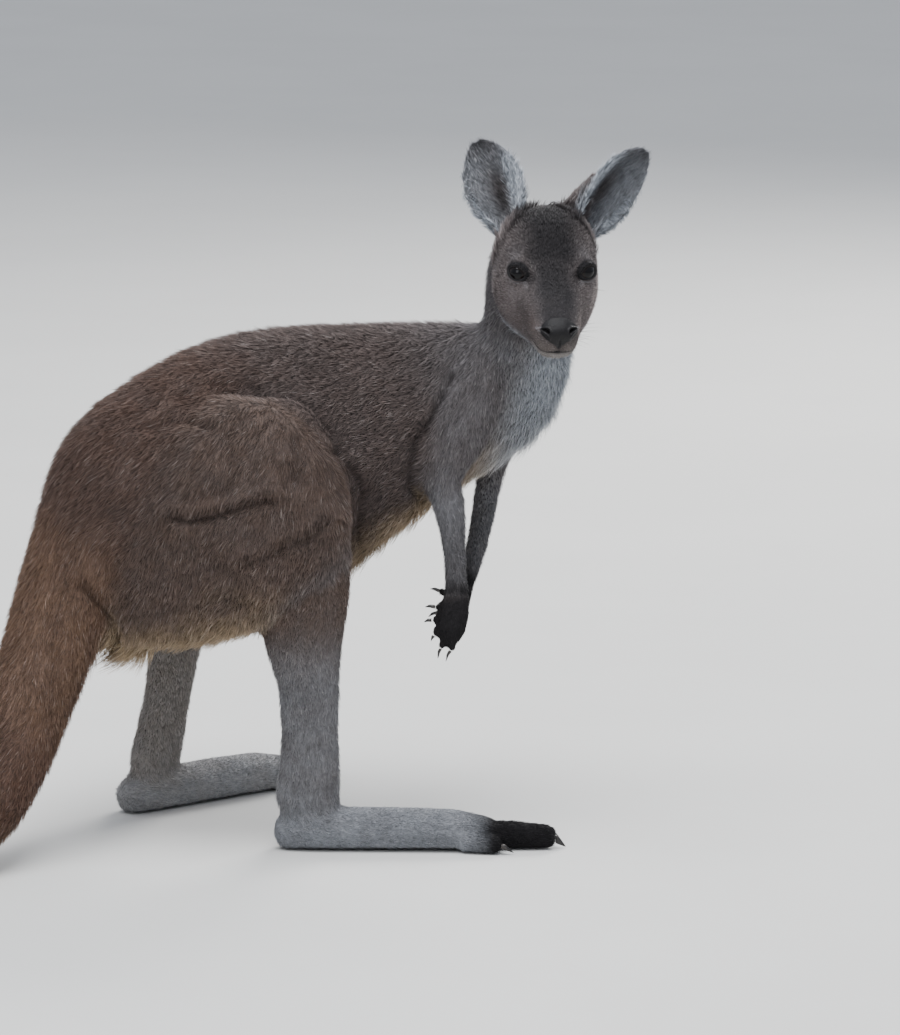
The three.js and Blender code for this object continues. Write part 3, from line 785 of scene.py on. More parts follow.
@dataclass
class Hide:
    """What every vertex of the skin grows: markings, and the lie, length and width of its hair."""

    skin: Skin
    normals: Array = field(init=False)
    broad: Array = field(init=False)
    markings: Array = field(init=False)
    lie: Array = field(init=False)
    length: Array = field(init=False)
    width: Array = field(init=False)
    density: Array = field(init=False)
    lift: Array = field(init=False)
    bare: Array = field(init=False)
    inner: Array = field(init=False)
    creases: Array = field(init=False)
    rim_from: float = 11.0

    def __post_init__(self) -> None:
        """Works out all the fields."""
        skin = self.skin
        self.web = Web(len(skin.points), skin.triangles)
        self.normals = vertex_normals(skin.points, skin.triangles)
        self.broad = unit(self.web.spread(self.normals, 30))
        self.inner = self.find_ear_hollows()
        self.bare = self.find_bare()
        self.comb()
        self.measure()
        self.paint()

    def along_foot(self) -> Array:
        """How far each vertex lies forward of the heel, along the foot's own way, in millimetres."""
        reach = np.zeros(len(self.skin.points))
        for side, yaw in FOOT_YAW.items():
            here = self.skin.owner == self.skin.nodes.index(f"foot_{side}")
            ahead = np.array([math.cos(math.radians(yaw)), math.sin(math.radians(yaw)), 0.0])
            places = self.skin.points[here] @ ahead
            reach[here] = (places - places.min()) / MM
        return reach

    def find_ear_hollows(self) -> Array:
        """How much each vertex is on the hollow side of an ear, from 0 to 1."""
        hollow = np.zeros(len(self.skin.points))
        for side, ear in EARS.items():
            here = self.skin.owner == self.skin.nodes.index(f"ear_{side}")
            facing = self.normals[here] @ ear.axes()[1]
            hollow[here] = smooth(-0.25, 0.3, facing)
        return self.web.spread(hollow, 2)

    def find_bare(self) -> Array:
        """How much of each vertex has no coat: the nose, the lids' edges and the soles."""
        face = Face(self.skin)
        head = self.skin.is_part("head")
        lids = np.zeros(len(self.skin.points))
        for side in SIDES:
            _, distance, out = face.lid_place(side)
            lids = np.maximum(lids, (1.0 - smooth(1.1, 1.3, out)) * (distance < 16.0))
        forward = self.skin.head.local(self.skin.points)[0]
        lips = bump(face.mouth_gap(), 0.0, 1.8) * smooth(60.0, 70.0, forward)
        bare = np.maximum(np.maximum(face.pad_share(), lids), lips) * head
        soles = smooth(-0.75, -0.92, self.normals[:, 2]) * self.skin.is_part("foot")
        return np.maximum(bare, soles)

    def comb(self) -> None:
        """Lays the coat: from the nose back, down the body and the limbs, and out along the ears."""
        skin, head = self.skin, self.skin.head
        table = np.array([PELTS[stem(n)].lie for n in skin.nodes])
        for index, node in enumerate(skin.nodes):
            low, high = (np.array(corner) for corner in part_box(node))
            if stem(node) == "ear":
                table[index] = (high - low) * (SIDES[side_of(node)], 0.6, 1.0)
            if stem(node) == "foot":
                yaw = math.radians(FOOT_YAW[side_of(node)])
                table[index] = (math.cos(yaw), math.sin(yaw), -0.1)
        lie = unit(table)[skin.owner]
        _, left, _ = head.local(skin.points)
        face = skin.is_part("head")
        outward = np.sign(left) * smooth(4.0, 30.0, np.abs(left))
        back = -head.forward + 0.35 * head.left * outward[:, None] - 0.25 * head.up
        lie[face] = unit(back)[face]
        lie = self.web.spread(lie, 14)
        self.lie = unit(across(unit(lie), self.normals))

    def measure(self) -> None:
        """Sets the hair's length, width, density and lift at every vertex."""
        skin = self.skin
        forward, _, _ = skin.head.local(skin.points)
        fields = {}
        for name in ("length", "width", "density", "depth"):
            fields[name] = self.web.spread(skin.by_pelt(name), 12)
        face = skin.is_part("head")
        muzzle = smooth(-30.0, 80.0, forward) * face
        fields["length"] *= 1.0 - 0.5 * muzzle
        fields["width"] *= 1.0 - 0.2 * muzzle
        under = smooth(0.3, 0.9, -self.broad[:, 2])
        fields["length"] *= 1.0 + 0.35 * under * skin.is_part("belly", "thigh", "rump", "chest")
        fields["length"] *= 1.0 + 1.2 * self.inner
        self.creases = Folds(skin).creases()
        fields["length"] *= 1.0 - 0.5 * self.creases
        self.length = fields["length"] * MM
        self.width = fields["width"] * MM
        self.density = fields["density"] * (1.0 - self.bare)
        self.lift = np.clip(1.2 * fields["depth"] / fields["length"], 0.16, 0.55)

    def paint(self) -> None:
        """Sets the shares of rufous, buff, ashy and dark hair at every vertex."""
        skin = self.skin
        shares = np.array([PELTS[stem(n)].markings for n in skin.nodes])[skin.owner]
        shares = self.web.spread(shares, 22)
        self.markings = shares
        self.paint_trunk()
        self.paint_limbs()
        self.paint_head()
        self.paint_ears()
        # Painted shade: the bottoms of the folds are darkened where shade falls in them.
        self.tint(3, 0.32 * self.creases)
        self.markings = np.clip(self.web.spread(self.markings, 1), 0.0, 1.0)

    def tint(self, kind: int, amount: Array) -> None:
        """Adds to one share of the markings: 0 rufous, 1 buff, 2 ashy, 3 dark."""
        self.markings[:, kind] += amount

    def paint_trunk(self) -> None:
        """Pales the throat, breast and underside, and darkens the tail's top."""
        skin, z = self.skin, self.broad[:, 2]
        x = skin.points[:, 0]
        front = skin.is_part("neck", "chest")
        breast = smooth(0.36, 0.405, x - 0.35 * (skin.points[:, 2] - 0.45)) * front
        self.tint(2, 0.75 * breast)
        self.tint(1, 0.25 * breast)
        under = smooth(0.25, 0.85, -z)
        trunk = skin.is_part("belly", "rump", "thigh", "chest")
        self.tint(1, 0.75 * under * trunk)
        self.tint(3, -0.2 * under * trunk)
        vent = bump(x, -0.005, 0.028) * under * skin.is_part("rump", "tail_base")
        self.tint(1, 0.5 * vent)
        self.tint(0, -0.4 * vent)
        tail = skin.is_part("tail_base", "tail_middle", "tail_end")
        self.tint(3, 0.25 * smooth(0.3, 0.9, z) * tail)
        self.tint(1, 0.3 * under * tail)

    def paint_limbs(self) -> None:
        """Darkens the toes, wrists and bare soles, warms the shank towards the knee above the paler heels,
        and pales the far shank and foot as painted sunlight.
        """
        skin = self.skin
        z = skin.points[:, 2]
        foot = skin.is_part("foot")
        toes = smooth(182.0, 224.0, self.along_foot()) * foot
        self.tint(3, 1.1 * toes)
        wrist = 0.28 * smooth(0.34, 0.29, z) + 0.5 * smooth(0.268, 0.238, z)
        self.tint(3, wrist * skin.is_part("forearm"))
        knee = smooth(0.16, 0.24, z) * skin.is_part("shank")
        self.tint(2, -0.4 * knee)
        self.tint(0, 0.15 * knee)
        # Painted sunlight: the far shank and foot are paled and tinted cream, though the near ones are not.
        far = (skin.owner == skin.nodes.index("shank_left")) | (skin.owner == skin.nodes.index("foot_left"))
        self.tint(1, 0.45 * far)
        self.tint(1, 0.3 * far * skin.is_part("foot"))
        self.tint(2, 0.05 * far * skin.is_part("foot"))
        self.tint(3, 0.85 * self.bare * foot)

    def paint_head(self) -> None:
        """Darkens crown, bridge, lids and nose, and pales the brow, the cheek, the lip and the jaw."""
        skin = self.skin
        forward, left, up = skin.head.local(skin.points)
        side, head = np.abs(left), skin.is_part("head").astype(float)
        face = Face(skin)

        def spot(f: float, s: float, u: float, reach: float) -> Array:
            """A soft round spot on both sides of the head."""
            return bump(np.sqrt((forward - f) ** 2 + (side - s) ** 2 + (up - u) ** 2), 0.0, reach) * head

        front = smooth(-32.0, -22.0, up - 0.35 * forward)
        crown = smooth(46.0, 0.0, forward) * smooth(46.0, 10.0, side) * smooth(-10.0, 12.0, up) * head
        crown *= smooth(-84.0, -58.0, forward)
        bridge = smooth(27.0, 9.0, side) * smooth(-20.0, 6.0, forward) * front * head
        darkest = np.maximum(0.66 * crown, 0.56 * bridge)
        self.tint(3, darkest)
        self.tint(0, -0.12 * (crown + bridge))
        self.tint(2, -0.08 * crown + 0.05 * bridge)
        self.tint(3, 0.9 * self.eye_surround() * head)
        brow = spot(-2.0, 39.0, 27.0, 11.0)
        below = spot(22.0, 41.0, -6.0, 15.0)
        cheek = spot(16.0, 42.0, -34.0, 26.0)
        whisker = spot(66.0, 24.0, -16.0, 14.0)
        self.tint(3, -0.36 * brow - 0.16 * below - 0.2 * cheek - 0.2 * whisker)
        self.tint(2, 0.2 * brow + 0.14 * below + 0.12 * cheek)
        self.tint(0, 0.25 * below + 0.3 * cheek + 0.2 * whisker)
        jaw = smooth(-52.0, -66.0, up - 0.3 * forward) * smooth(84.0, 58.0, forward) * head
        self.tint(2, 0.55 * jaw)
        self.tint(3, -0.3 * jaw)
        lip = spot(86.0, 13.0, -24.0, 10.0)
        self.tint(1, 0.22 * lip)
        self.tint(2, 0.12 * lip)
        self.tint(3, -0.25 * lip)
        chin = smooth(0.0, -3.0, face.mouth_gap()) * smooth(60.0, 72.0, forward) * head
        self.tint(1, 0.35 * chin)
        self.tint(2, 0.3 * chin)
        self.tint(3, -0.4 * chin)
        rim = bump(face.nostril_gap(), 2.1, 0.45) * smooth(60.0, 72.0, forward) * head
        rim *= side > self.rim_from
        self.tint(3, 1.2 * face.pad_share() * head - 0.75 * rim)
        self.tint(2, 0.4 * rim)
        middle = smooth(16.0, 9.0, side)
        mouth = bump(face.mouth_gap(), 0.0, 1.3 + 1.1 * middle) * smooth(60.0, 74.0, forward) * head
        self.tint(3, (0.5 + 0.6 * middle) * mouth)
        for name in SIDES:
            _, _, out = face.lid_place(name)
            below_lid = (skin.points - skin.head.eyes[name]) @ skin.head.eye_axes(name)[2] < -2.0 * MM
            crescent = bump(out, 1.62, 0.16) * below_lid * (face.eye_gap() < 19.0) * head
            self.tint(3, -0.9 * crescent)
            self.tint(2, 0.25 * crescent)

    def eye_surround(self) -> Array:
        """How dark the skin is round the eyes: most above them and towards the nose."""
        dark = np.zeros(len(self.skin.points))
        for side in SIDES:
            _, level, upright = self.skin.head.eye_axes(side)
            offset = (self.skin.points - self.skin.head.eyes[side]) / MM
            along, over = offset @ level, offset @ upright
            gap = np.hypot(along / 11.5, (over - 1.8) / 8.6)
            tear = bump(np.hypot((along - 14.0) / 1.6, (over + 4.5) / 1.0), 0.0, 3.2)
            ring = smooth(1.25, 0.8, gap) + 0.7 * tear
            dark = np.maximum(dark, np.clip(ring, 0.0, 1.0) * (np.linalg.norm(offset, axis=1) < 26.0))
        return dark

    def paint_ears(self) -> None:
        """Pales the ears' inner hair along the crown side, darkens their tips, darkens their hollows as
        painted shade that is deepest in the pit, and pales the far ear's hollow as painted light.
        """
        skin = self.skin
        for side, ear in EARS.items():
            here = skin.owner == skin.nodes.index(f"ear_{side}")
            along, inward = ear.local(skin.points)
            wall = smooth(0.35, 0.75, inward + 0.35 * bump(along, 0.3, 0.25)) * smooth(0.86, 0.6, along)
            pit = bump(np.hypot((along - 0.44) / 0.24, (inward - 0.08) / 0.3), 0.0, 1.0)
            inner = self.inner * here
            rim = bump(self.inner, 0.55, 0.3) * here
            # The rims are pale hair; the extra pale in the far ear's hollow is painted light.
            self.tint(2, 0.45 * rim + 0.12 * inner * (side == "left"))
            self.tint(3, -0.25 * rim - 0.15 * inner * (side == "left"))
            # Painted shade: the hollow is darkened, most in its deep pit, while the pale wall is the ear's
            # own hair.
            self.tint(2, inner * (0.34 + 0.6 * wall - 0.6 * pit - 0.2 * smooth(0.75, 1.0, along)))
            self.tint(3, inner * (0.2 + 0.4 * pit - 0.4 * wall + 0.15 * smooth(0.8, 1.0, along)))
            outer = (1.0 - self.inner) * here
            self.tint(2, 0.14 * outer)


# ---- The coat ----


class Tuft(Enum):
    """The shapes of a tuft: how many lengths its sides are bent in."""

    SPIKE = 1
    LOCK = 2


@dataclass
class Coat:
    """Thin tufts of hair all over the skin, as closed spikes, each lying with its neighbours."""

    skin: Skin
    hide: Hide
    unwrap: Array
    seed: int = 7
    piece_faces: int = 190000
    patch: float = 0.003
    guide_share: float = 0.05
    coarse_share: float = 0.1
    coarse_size: tuple[float, float] = (1.2, 1.55)
    length_spread: tuple[float, float] = (0.65, 1.2)
    width_spread: tuple[float, float] = (0.75, 1.25)
    gather: float = 0.45
    bury: float = 0.5 * MM
    floor_gap: float = 0.3 * MM

    def roots(self, weight: Array, count: int, rng: np.random.Generator) -> tuple[Array, Array]:
        """Picks places on the skin.

        Args:
            weight: how densely each vertex is planted.
            count: how many places.
            rng: the source of chance.

        Returns:
            The face of each place, and its share of the face's three corners.
        """
        corners = self.skin.points[self.skin.triangles]
        normal = np.cross(corners[:, 1] - corners[:, 0], corners[:, 2] - corners[:, 0])
        area = np.linalg.norm(normal, axis=1) / 2
        total = np.cumsum(area * weight[self.skin.triangles].mean(axis=1))
        faces = np.searchsorted(total, rng.random(count) * total[-1])
        u, v = rng.random(count), rng.random(count)
        over = u + v > 1.0
        u[over], v[over] = 1.0 - u[over], 1.0 - v[over]
        return faces, np.stack([1.0 - u - v, u, v], axis=1)

    def at(self, values: Array, faces: Array, shares: Array) -> Array:
        """A vertex field's values at places on faces."""
        return np.einsum("nk...,nk->n...", values[self.skin.triangles[faces]], shares)

    def directions(
        self, places: Array, normals: Array, lie: Array, lift: Array, rng: np.random.Generator,
    ) -> Array:
        """Which way each tuft points: along the lie, swayed by slow and fast chance."""
        beside = np.cross(normals, lie)
        sway = 0.28 * value_noise(places, 0.03, 3) + 0.22 * value_noise(places, 0.009, 5)
        sway += 0.16 * rng.standard_normal(len(places))
        rise = lift * (1.0 + 0.35 * value_noise(places, 0.012, 9) + 0.25 * rng.standard_normal(len(places)))
        return unit(lie + beside * sway[:, None] + normals * np.clip(rise, 0.03, 0.8)[:, None])

    def gathered(self, places: Array, tips: Array, rng: np.random.Generator) -> Array:
        """The tips, drawn a little towards those of near guides so that the coat clumps."""
        chosen = rng.choice(len(places), max(int(len(places) * self.guide_share), 1), replace=False)
        tree = KDTree(len(chosen))
        for i, place in enumerate(places[chosen].tolist()):
            tree.insert(place, i)
        tree.balance()
        nearest = np.array([tree.find(place)[1] for place in places.tolist()])
        pull = tips[chosen][nearest] - tips
        reach = np.linalg.norm(tips - places, axis=1)
        far = np.linalg.norm(pull, axis=1)
        share = self.gather * np.clip(1.0 - far / (1.6 * reach), 0.0, 1.0)
        return tips + pull * share[:, None]

    def spikes(
        self, roots: Array, tips: Array, normals: Array, width: Array, shape: Tuft,
    ) -> tuple[Array, Array]:
        """Makes closed three-sided spikes.

        Args:
            roots: where each starts.
            tips: where each ends.
            normals: the skin's normal under each.
            width: how wide each is at its root.
            shape: in how many lengths its sides are bent.

        Returns:
            The vertices, spikes x points x 3, and one spike's faces.
        """
        along = unit(tips - roots)
        beside = unit(np.cross(along, normals)) * width[:, None] / 2
        above = unit(np.cross(beside, along)) * width[:, None] * 0.45

        def ring(centre: Array, size: float) -> list[Array]:
            """Three points round each spike."""
            return [centre + beside * size, centre - beside * size, centre + above * size]

        points = ring(roots - along * self.bury, 1.0)
        if shape is Tuft.LOCK:
            bow = normals * (np.linalg.norm(tips - roots, axis=1) * 0.1)[:, None]
            points += ring(roots + (tips - roots) * 0.5 + bow, 0.85)
        points.append(tips)
        faces = [(0, 2, 1)]
        for level in range(shape.value - 1):
            low, high = 3 * level, 3 * level + 3
            for a, b in ((0, 1), (1, 2), (2, 0)):
                faces += [(low + a, low + b, high + b), (low + a, high + b, high + a)]
        top = 3 * (shape.value - 1)
        faces += [(top + a, top + b, 3 * shape.value) for a, b in ((0, 1), (1, 2), (2, 0))]
        return np.stack(points, axis=1), np.array(faces)

    def grow(self, name: str, weight: Array, count: int, shape: Tuft = Tuft.SPIKE) -> list[bpy.types.Object]:
        """Plants one layer of tufts.

        Args:
            name: the layer's name.
            weight: how densely each vertex of the skin is planted.
            count: how many tufts.
            shape: the shape of each.

        Returns:
            The layer's pieces.
        """
        rng = np.random.default_rng(self.seed + sum(map(ord, name)))
        hide = self.hide
        faces, shares = self.roots(weight, count, rng)
        order = np.argsort(self.skin.owner[self.skin.triangles[faces, 0]], kind="stable")
        faces, shares = faces[order], shares[order]
        places = self.at(self.skin.points, faces, shares)
        normals = unit(self.at(hide.normals, faces, shares))
        lie = unit(across(self.at(hide.lie, faces, shares), normals))
        aim = self.directions(places, normals, lie, self.at(hide.lift, faces, shares), rng)
        coarse = rng.random(count) < self.coarse_share
        length = self.at(hide.length, faces, shares) * rng.uniform(*self.length_spread, count)
        length *= np.where(coarse, self.coarse_size[0], 1.0)
        tips = self.gathered(places, places + aim * length[:, None], rng)
        width = self.at(hide.width, faces, shares) * rng.uniform(*self.width_spread, count)
        width *= np.where(coarse, self.coarse_size[1], 1.0)
        points, pattern = self.spikes(places, tips, normals, width, shape)
        points[..., 2] = np.maximum(points[..., 2], self.floor_gap)
        centres = np.einsum("nkc,nk->nc", self.unwrap[faces], shares)
        markings = self.at(hide.markings, faces, shares)
        shade = 0.7 * rng.standard_normal(count) + 0.6 * value_noise(places, 0.0035, 21)
        shade += 0.3 * value_noise(places, 0.009, 22)
        step = self.piece_faces // len(pattern)
        pieces = []
        for part, start in enumerate(range(0, count, step)):
            chunk = slice(start, min(start + step, count))
            pieces.append(self.piece(
                f"{name}_{part + 1}", points[chunk], pattern, centres[chunk], markings[chunk], shade[chunk],
            ))
        return pieces

    def altered(self, **fields: Array) -> "Coat":
        """The same coat with some of what it grows from changed."""
        hide = copy.copy(self.hide)
        for name, values in fields.items():
            setattr(hide, name, values)
        return replace(self, hide=hide)

    def grow_ear_hair(self, count: int = 5200) -> list[bpy.types.Object]:
        """The long pale hair inside the ears, by the crown side, and the fringe of their lower rims."""
        skin, hide = self.skin, self.hide
        wall, rim = np.zeros(len(skin.points)), np.zeros(len(skin.points))
        lie, normals = hide.lie.copy(), hide.normals
        for side, ear in EARS.items():
            here = skin.owner == skin.nodes.index(f"ear_{side}")
            along, inward = ear.local(skin.points)
            up, out, across_ear = ear.axes()
            band = smooth(0.3, 0.6, inward) * smooth(0.84, 0.6, along) * smooth(-0.02, 0.1, along)
            wall = np.maximum(wall, band * hide.inner * here)
            edge = np.interp(along, (0.0, 0.34, 0.55, 0.9), (0.5, 0.86, 1.0, 0.6))
            lower = smooth(-0.55, -0.8, inward / edge)
            lower = np.maximum(lower, smooth(0.14, 0.02, along)) * smooth(0.86, 0.5, along)
            rim = np.maximum(rim, lower * here * smooth(0.75, 0.3, np.abs(normals @ out)))
            lie[here & (rim > 0.02)] = -across_ear * 0.9 - up * 0.3 + out * 0.25
            lie[here & (wall > 0.02)] = across_ear * 0.7 + up * 0.75
        pale = hide.markings.copy()
        pale[:, 2], pale[:, 3], pale[:, 0] = 1.0, 0.0, 0.0
        coat = self.altered(
            lie=lie, markings=pale, length=np.where(wall > rim, 8.5, 6.5) * MM,
            width=np.full(len(wall), 0.34 * MM), lift=np.where(wall > rim, 0.3, 0.5),
        )
        return coat.grow("ear_hair", wall + 1.6 * rim, count, Tuft.LOCK) + self.grow_ear_bases()

    def grow_ear_bases(self, count: int = 6000) -> list[bpy.types.Object]:
        """The thick dark hair round the ears' roots, which rounds them into the crown."""
        skin, hide = self.skin, self.hide
        root, medial, lie = np.zeros(len(skin.points)), np.zeros(len(skin.points)), hide.lie.copy()
        for side, ear in EARS.items():
            along, inward = ear.local(skin.points)
            up, out, across_ear = ear.axes()
            here = skin.owner == skin.nodes.index(f"ear_{side}")
            back = (1.0 - hide.inner) * here * smooth(0.5, 0.1, along)
            foot = np.linalg.norm(skin.points - np.array(ear.root), axis=1)
            mound = smooth(0.042, 0.024, foot) * skin.is_part("head")
            zone = np.maximum(back, mound)
            root = np.maximum(root, zone)
            medial = np.maximum(medial, smooth(-0.2, 0.5, inward) * (zone > 0.0))
            lie[zone > 0.02] = unit(up * 0.9 + across_ear * 0.35 - out * 0.1)
        dark = hide.markings.copy()
        dark[:, 3] = np.clip(dark[:, 3] + 0.35 * medial, 0.0, 0.85)
        coat = self.altered(
            lie=lie, markings=dark, length=np.full(len(root), 11.0 * MM), width=np.full(len(root), 0.45 * MM),
            lift=np.full(len(root), 0.6),
        )
        return coat.grow("ear_base", root, count, Tuft.LOCK)

    def grow_fringes(self, count: int = 9000) -> list[bpy.types.Object]:
        """The longer hair of throat, breast, underside and vent, that breaks the outline."""
        skin, hide = self.skin, self.hide
        down = smooth(0.2, 0.8, -hide.broad[:, 2])
        front = smooth(0.5, 0.95, hide.normals[:, 0]) * skin.is_part("neck", "chest")
        under = down * skin.is_part("chest", "belly", "rump", "thigh")
        forward, _, up = skin.head.local(skin.points)
        jaw = smooth(-50.0, -64.0, up - 0.3 * forward) * smooth(70.0, 50.0, forward) * skin.is_part("head")
        vent = bump(skin.points[:, 0], -0.005, 0.028) * down * skin.is_part("rump", "tail_base")
        weight = 0.6 * front + under + 0.8 * jaw + 3.0 * vent
        length = hide.length * (1.35 - 0.1 * jaw + 0.7 * vent)
        lift = np.clip(hide.lift * (1.5 + vent), 0.3, 0.8)
        coat = self.altered(length=length, lift=lift, width=hide.width * 0.9)
        return coat.grow("fringe", weight, count, Tuft.LOCK)

    def piece(
        self, name: str, points: Array, pattern: Array, centres: Array, markings: Array, shade: Array,
    ) -> bpy.types.Object:
        """Joins tufts into one piece, with their markings and their patches of the unwrap.

        Args:
            name: the piece's name.
            points: the tufts' vertices, tufts x points x 3.
            pattern: one tuft's faces.
            centres: the place of each tuft's root on the unwrap.
            markings: the shares of its hair's colours.
            shade: how light it is among its neighbours.

        Returns:
            The piece.
        """
        count, corners = points.shape[:2]
        faces = (pattern[None] + (np.arange(count) * corners)[:, None, None]).reshape(-1, 3)
        piece = new_piece(name, points.reshape(-1, 3), faces)
        turn = np.linspace(0.0, 2 * math.pi, corners, endpoint=False)
        spot = np.stack([np.cos(turn), np.sin(turn)], axis=1) * self.patch / 2
        places = np.clip(centres[:, None] + spot[None], 0.0, 1.0).reshape(-1, 2)
        layer = piece.data.uv_layers.new(name="OFBake")
        layer.uv.foreach_set("vector", places[faces.ravel()].astype(np.float32).ravel())
        put_field(piece, "markings", np.repeat(markings, corners, axis=0))
        along = np.zeros((count, corners))
        along[:, 3:] = 0.5
        along[:, -1] = 1.0
        furred = 1.0 - smooth(0.55, 0.9, markings[:, 3])
        strand = np.stack([np.repeat(shade, corners), along.ravel(), np.repeat(furred, corners)], axis=1)
        put_field(piece, "strand", np.pad(strand, ((0, 0), (0, 1))))
        return piece

@dataclass(frozen=True)
class Layer:
    """One zone of the coat: its name, its slot and the parts that it covers."""

    name: str
    slot: str
    parts: tuple[str, ...]


LAYERS = (
    Layer("coat_back", "coat_back", ("belly",)),
    Layer("coat_shoulder", "coat_shoulder", ("chest", "upper_arm")),
    Layer("coat_rump", "coat_rump", ("rump", "thigh")),
    Layer("coat_tail", "coat_tail", ("tail_base", "tail_middle", "tail_end")),
    Layer("coat_throat", "coat_throat", ("neck",)),
    Layer("coat_face", "coat_face", ("head",)),
    Layer("coat_ear", "coat_ear", ("ear",)),
    Layer("coat_leg", "coat_leg", ("shank", "foot", "forearm")),
    Layer("coat_hand", "coat_hand", ("hand",)),
)


# ---- Eyes, claws and whiskers ----


@dataclass
class Eye:
    """One eye: a ball with the clear front bulging a little, turned between ahead and aside."""

    head: HeadFrame
    side: str
    radius: float = 12 * MM
    bulge: float = 1.0 * MM
    front_angle: float = 44.0
    rings: int = 56
    spokes: int = 72

    def build(self) -> bpy.types.Object:
        """Makes the ball, with each vertex's angle from the gaze stored for its material.

        Returns:
            The eye's piece.
        """
        gaze, level, upright = self.head.eye_axes(self.side)
        theta = np.linspace(0.0, math.pi, self.rings + 1)[1:-1]
        phi = np.linspace(0.0, 2 * math.pi, self.spokes, endpoint=False)
        radius = self.radius + self.bulge * (1.0 - smooth(0.0, math.radians(self.front_angle), theta))
        circle = np.cos(phi)[:, None] * level + np.sin(phi)[:, None] * upright
        rings = np.cos(theta)[:, None, None] * gaze + np.sin(theta)[:, None, None] * circle[None]
        points = (rings * radius[:, None, None]).reshape(-1, 3)
        poles = np.stack([gaze * (self.radius + self.bulge), -gaze * self.radius])
        points = np.concatenate([points, poles]) + self.head.eyes[self.side]
        piece = new_piece(f"eye_ball_{self.side}", points, self.faces())
        angle = np.concatenate([np.repeat(theta, self.spokes), [0.0, math.pi]]) / math.pi
        offset = points - self.head.eyes[self.side]
        across_eye, over_eye = offset @ level / self.radius, offset @ upright / self.radius
        put_field(piece, "iris", np.stack([angle, across_eye, over_eye, np.ones(len(angle))], axis=1))
        return piece

    def faces(self) -> Array:
        """The ball's triangles, facing out."""
        front, back = (self.rings - 1) * self.spokes, (self.rings - 1) * self.spokes + 1
        spoke = np.arange(self.spokes)
        after = (spoke + 1) % self.spokes
        parts = [np.stack([np.full_like(spoke, front), after, spoke], axis=1)]
        for ring in range(self.rings - 2):
            low, high = ring * self.spokes, (ring + 1) * self.spokes
            parts.append(np.stack([low + spoke, low + after, high + after], axis=1))
            parts.append(np.stack([low + spoke, high + after, high + spoke], axis=1))
        last = (self.rings - 2) * self.spokes
        parts.append(np.stack([last + spoke, last + after, np.full_like(spoke, back)], axis=1))
        return np.concatenate(parts)


@dataclass
class Claw:
    """One claw, rounded out of its solid, with a keel above and a hollow below."""

    node: str
    voxel: float = 0.55 * MM
    rounds: int = 7

    def build(self) -> bpy.types.Object:
        """Makes the claw's piece.

        Returns:
            The piece, as long as its solid.
        """
        raw, faces = mesh_arrays(bpy.data.objects[self.node].data)
        _, first, merged = np.unique(np.round(raw / 1e-6), axis=0, return_index=True, return_inverse=True)
        piece = new_piece("block", raw[first], merged.ravel()[faces])
        remesh = piece.modifiers.new("wrap", "REMESH")
        remesh.mode = "VOXEL"
        remesh.voxel_size = self.voxel
        points, triangles = baked(piece)
        low, high = points.min(axis=0), points.max(axis=0)
        points = Web(len(points), triangles).spread(points, self.rounds)
        now_low, now_high = points.min(axis=0), points.max(axis=0)
        points = low + (points - now_low) * (high - low) / np.maximum(now_high - now_low, 1e-6)
        claw = new_piece(f"horn_{self.node}", points, triangles)
        centre = points.mean(axis=0)
        spread = np.linalg.svd(points - centre, full_matrices=False)[2][0]
        along = (points - centre) @ spread
        along = (along - along.min()) / np.ptp(along)
        thick = np.linalg.norm(across(points - centre, np.tile(spread, (len(points), 1))), axis=1)
        if thick[along > 0.8].mean() > thick[along < 0.2].mean():
            along = 1.0 - along
        put_field(claw, "strand", np.stack([along, along, along, along], axis=1))
        return claw


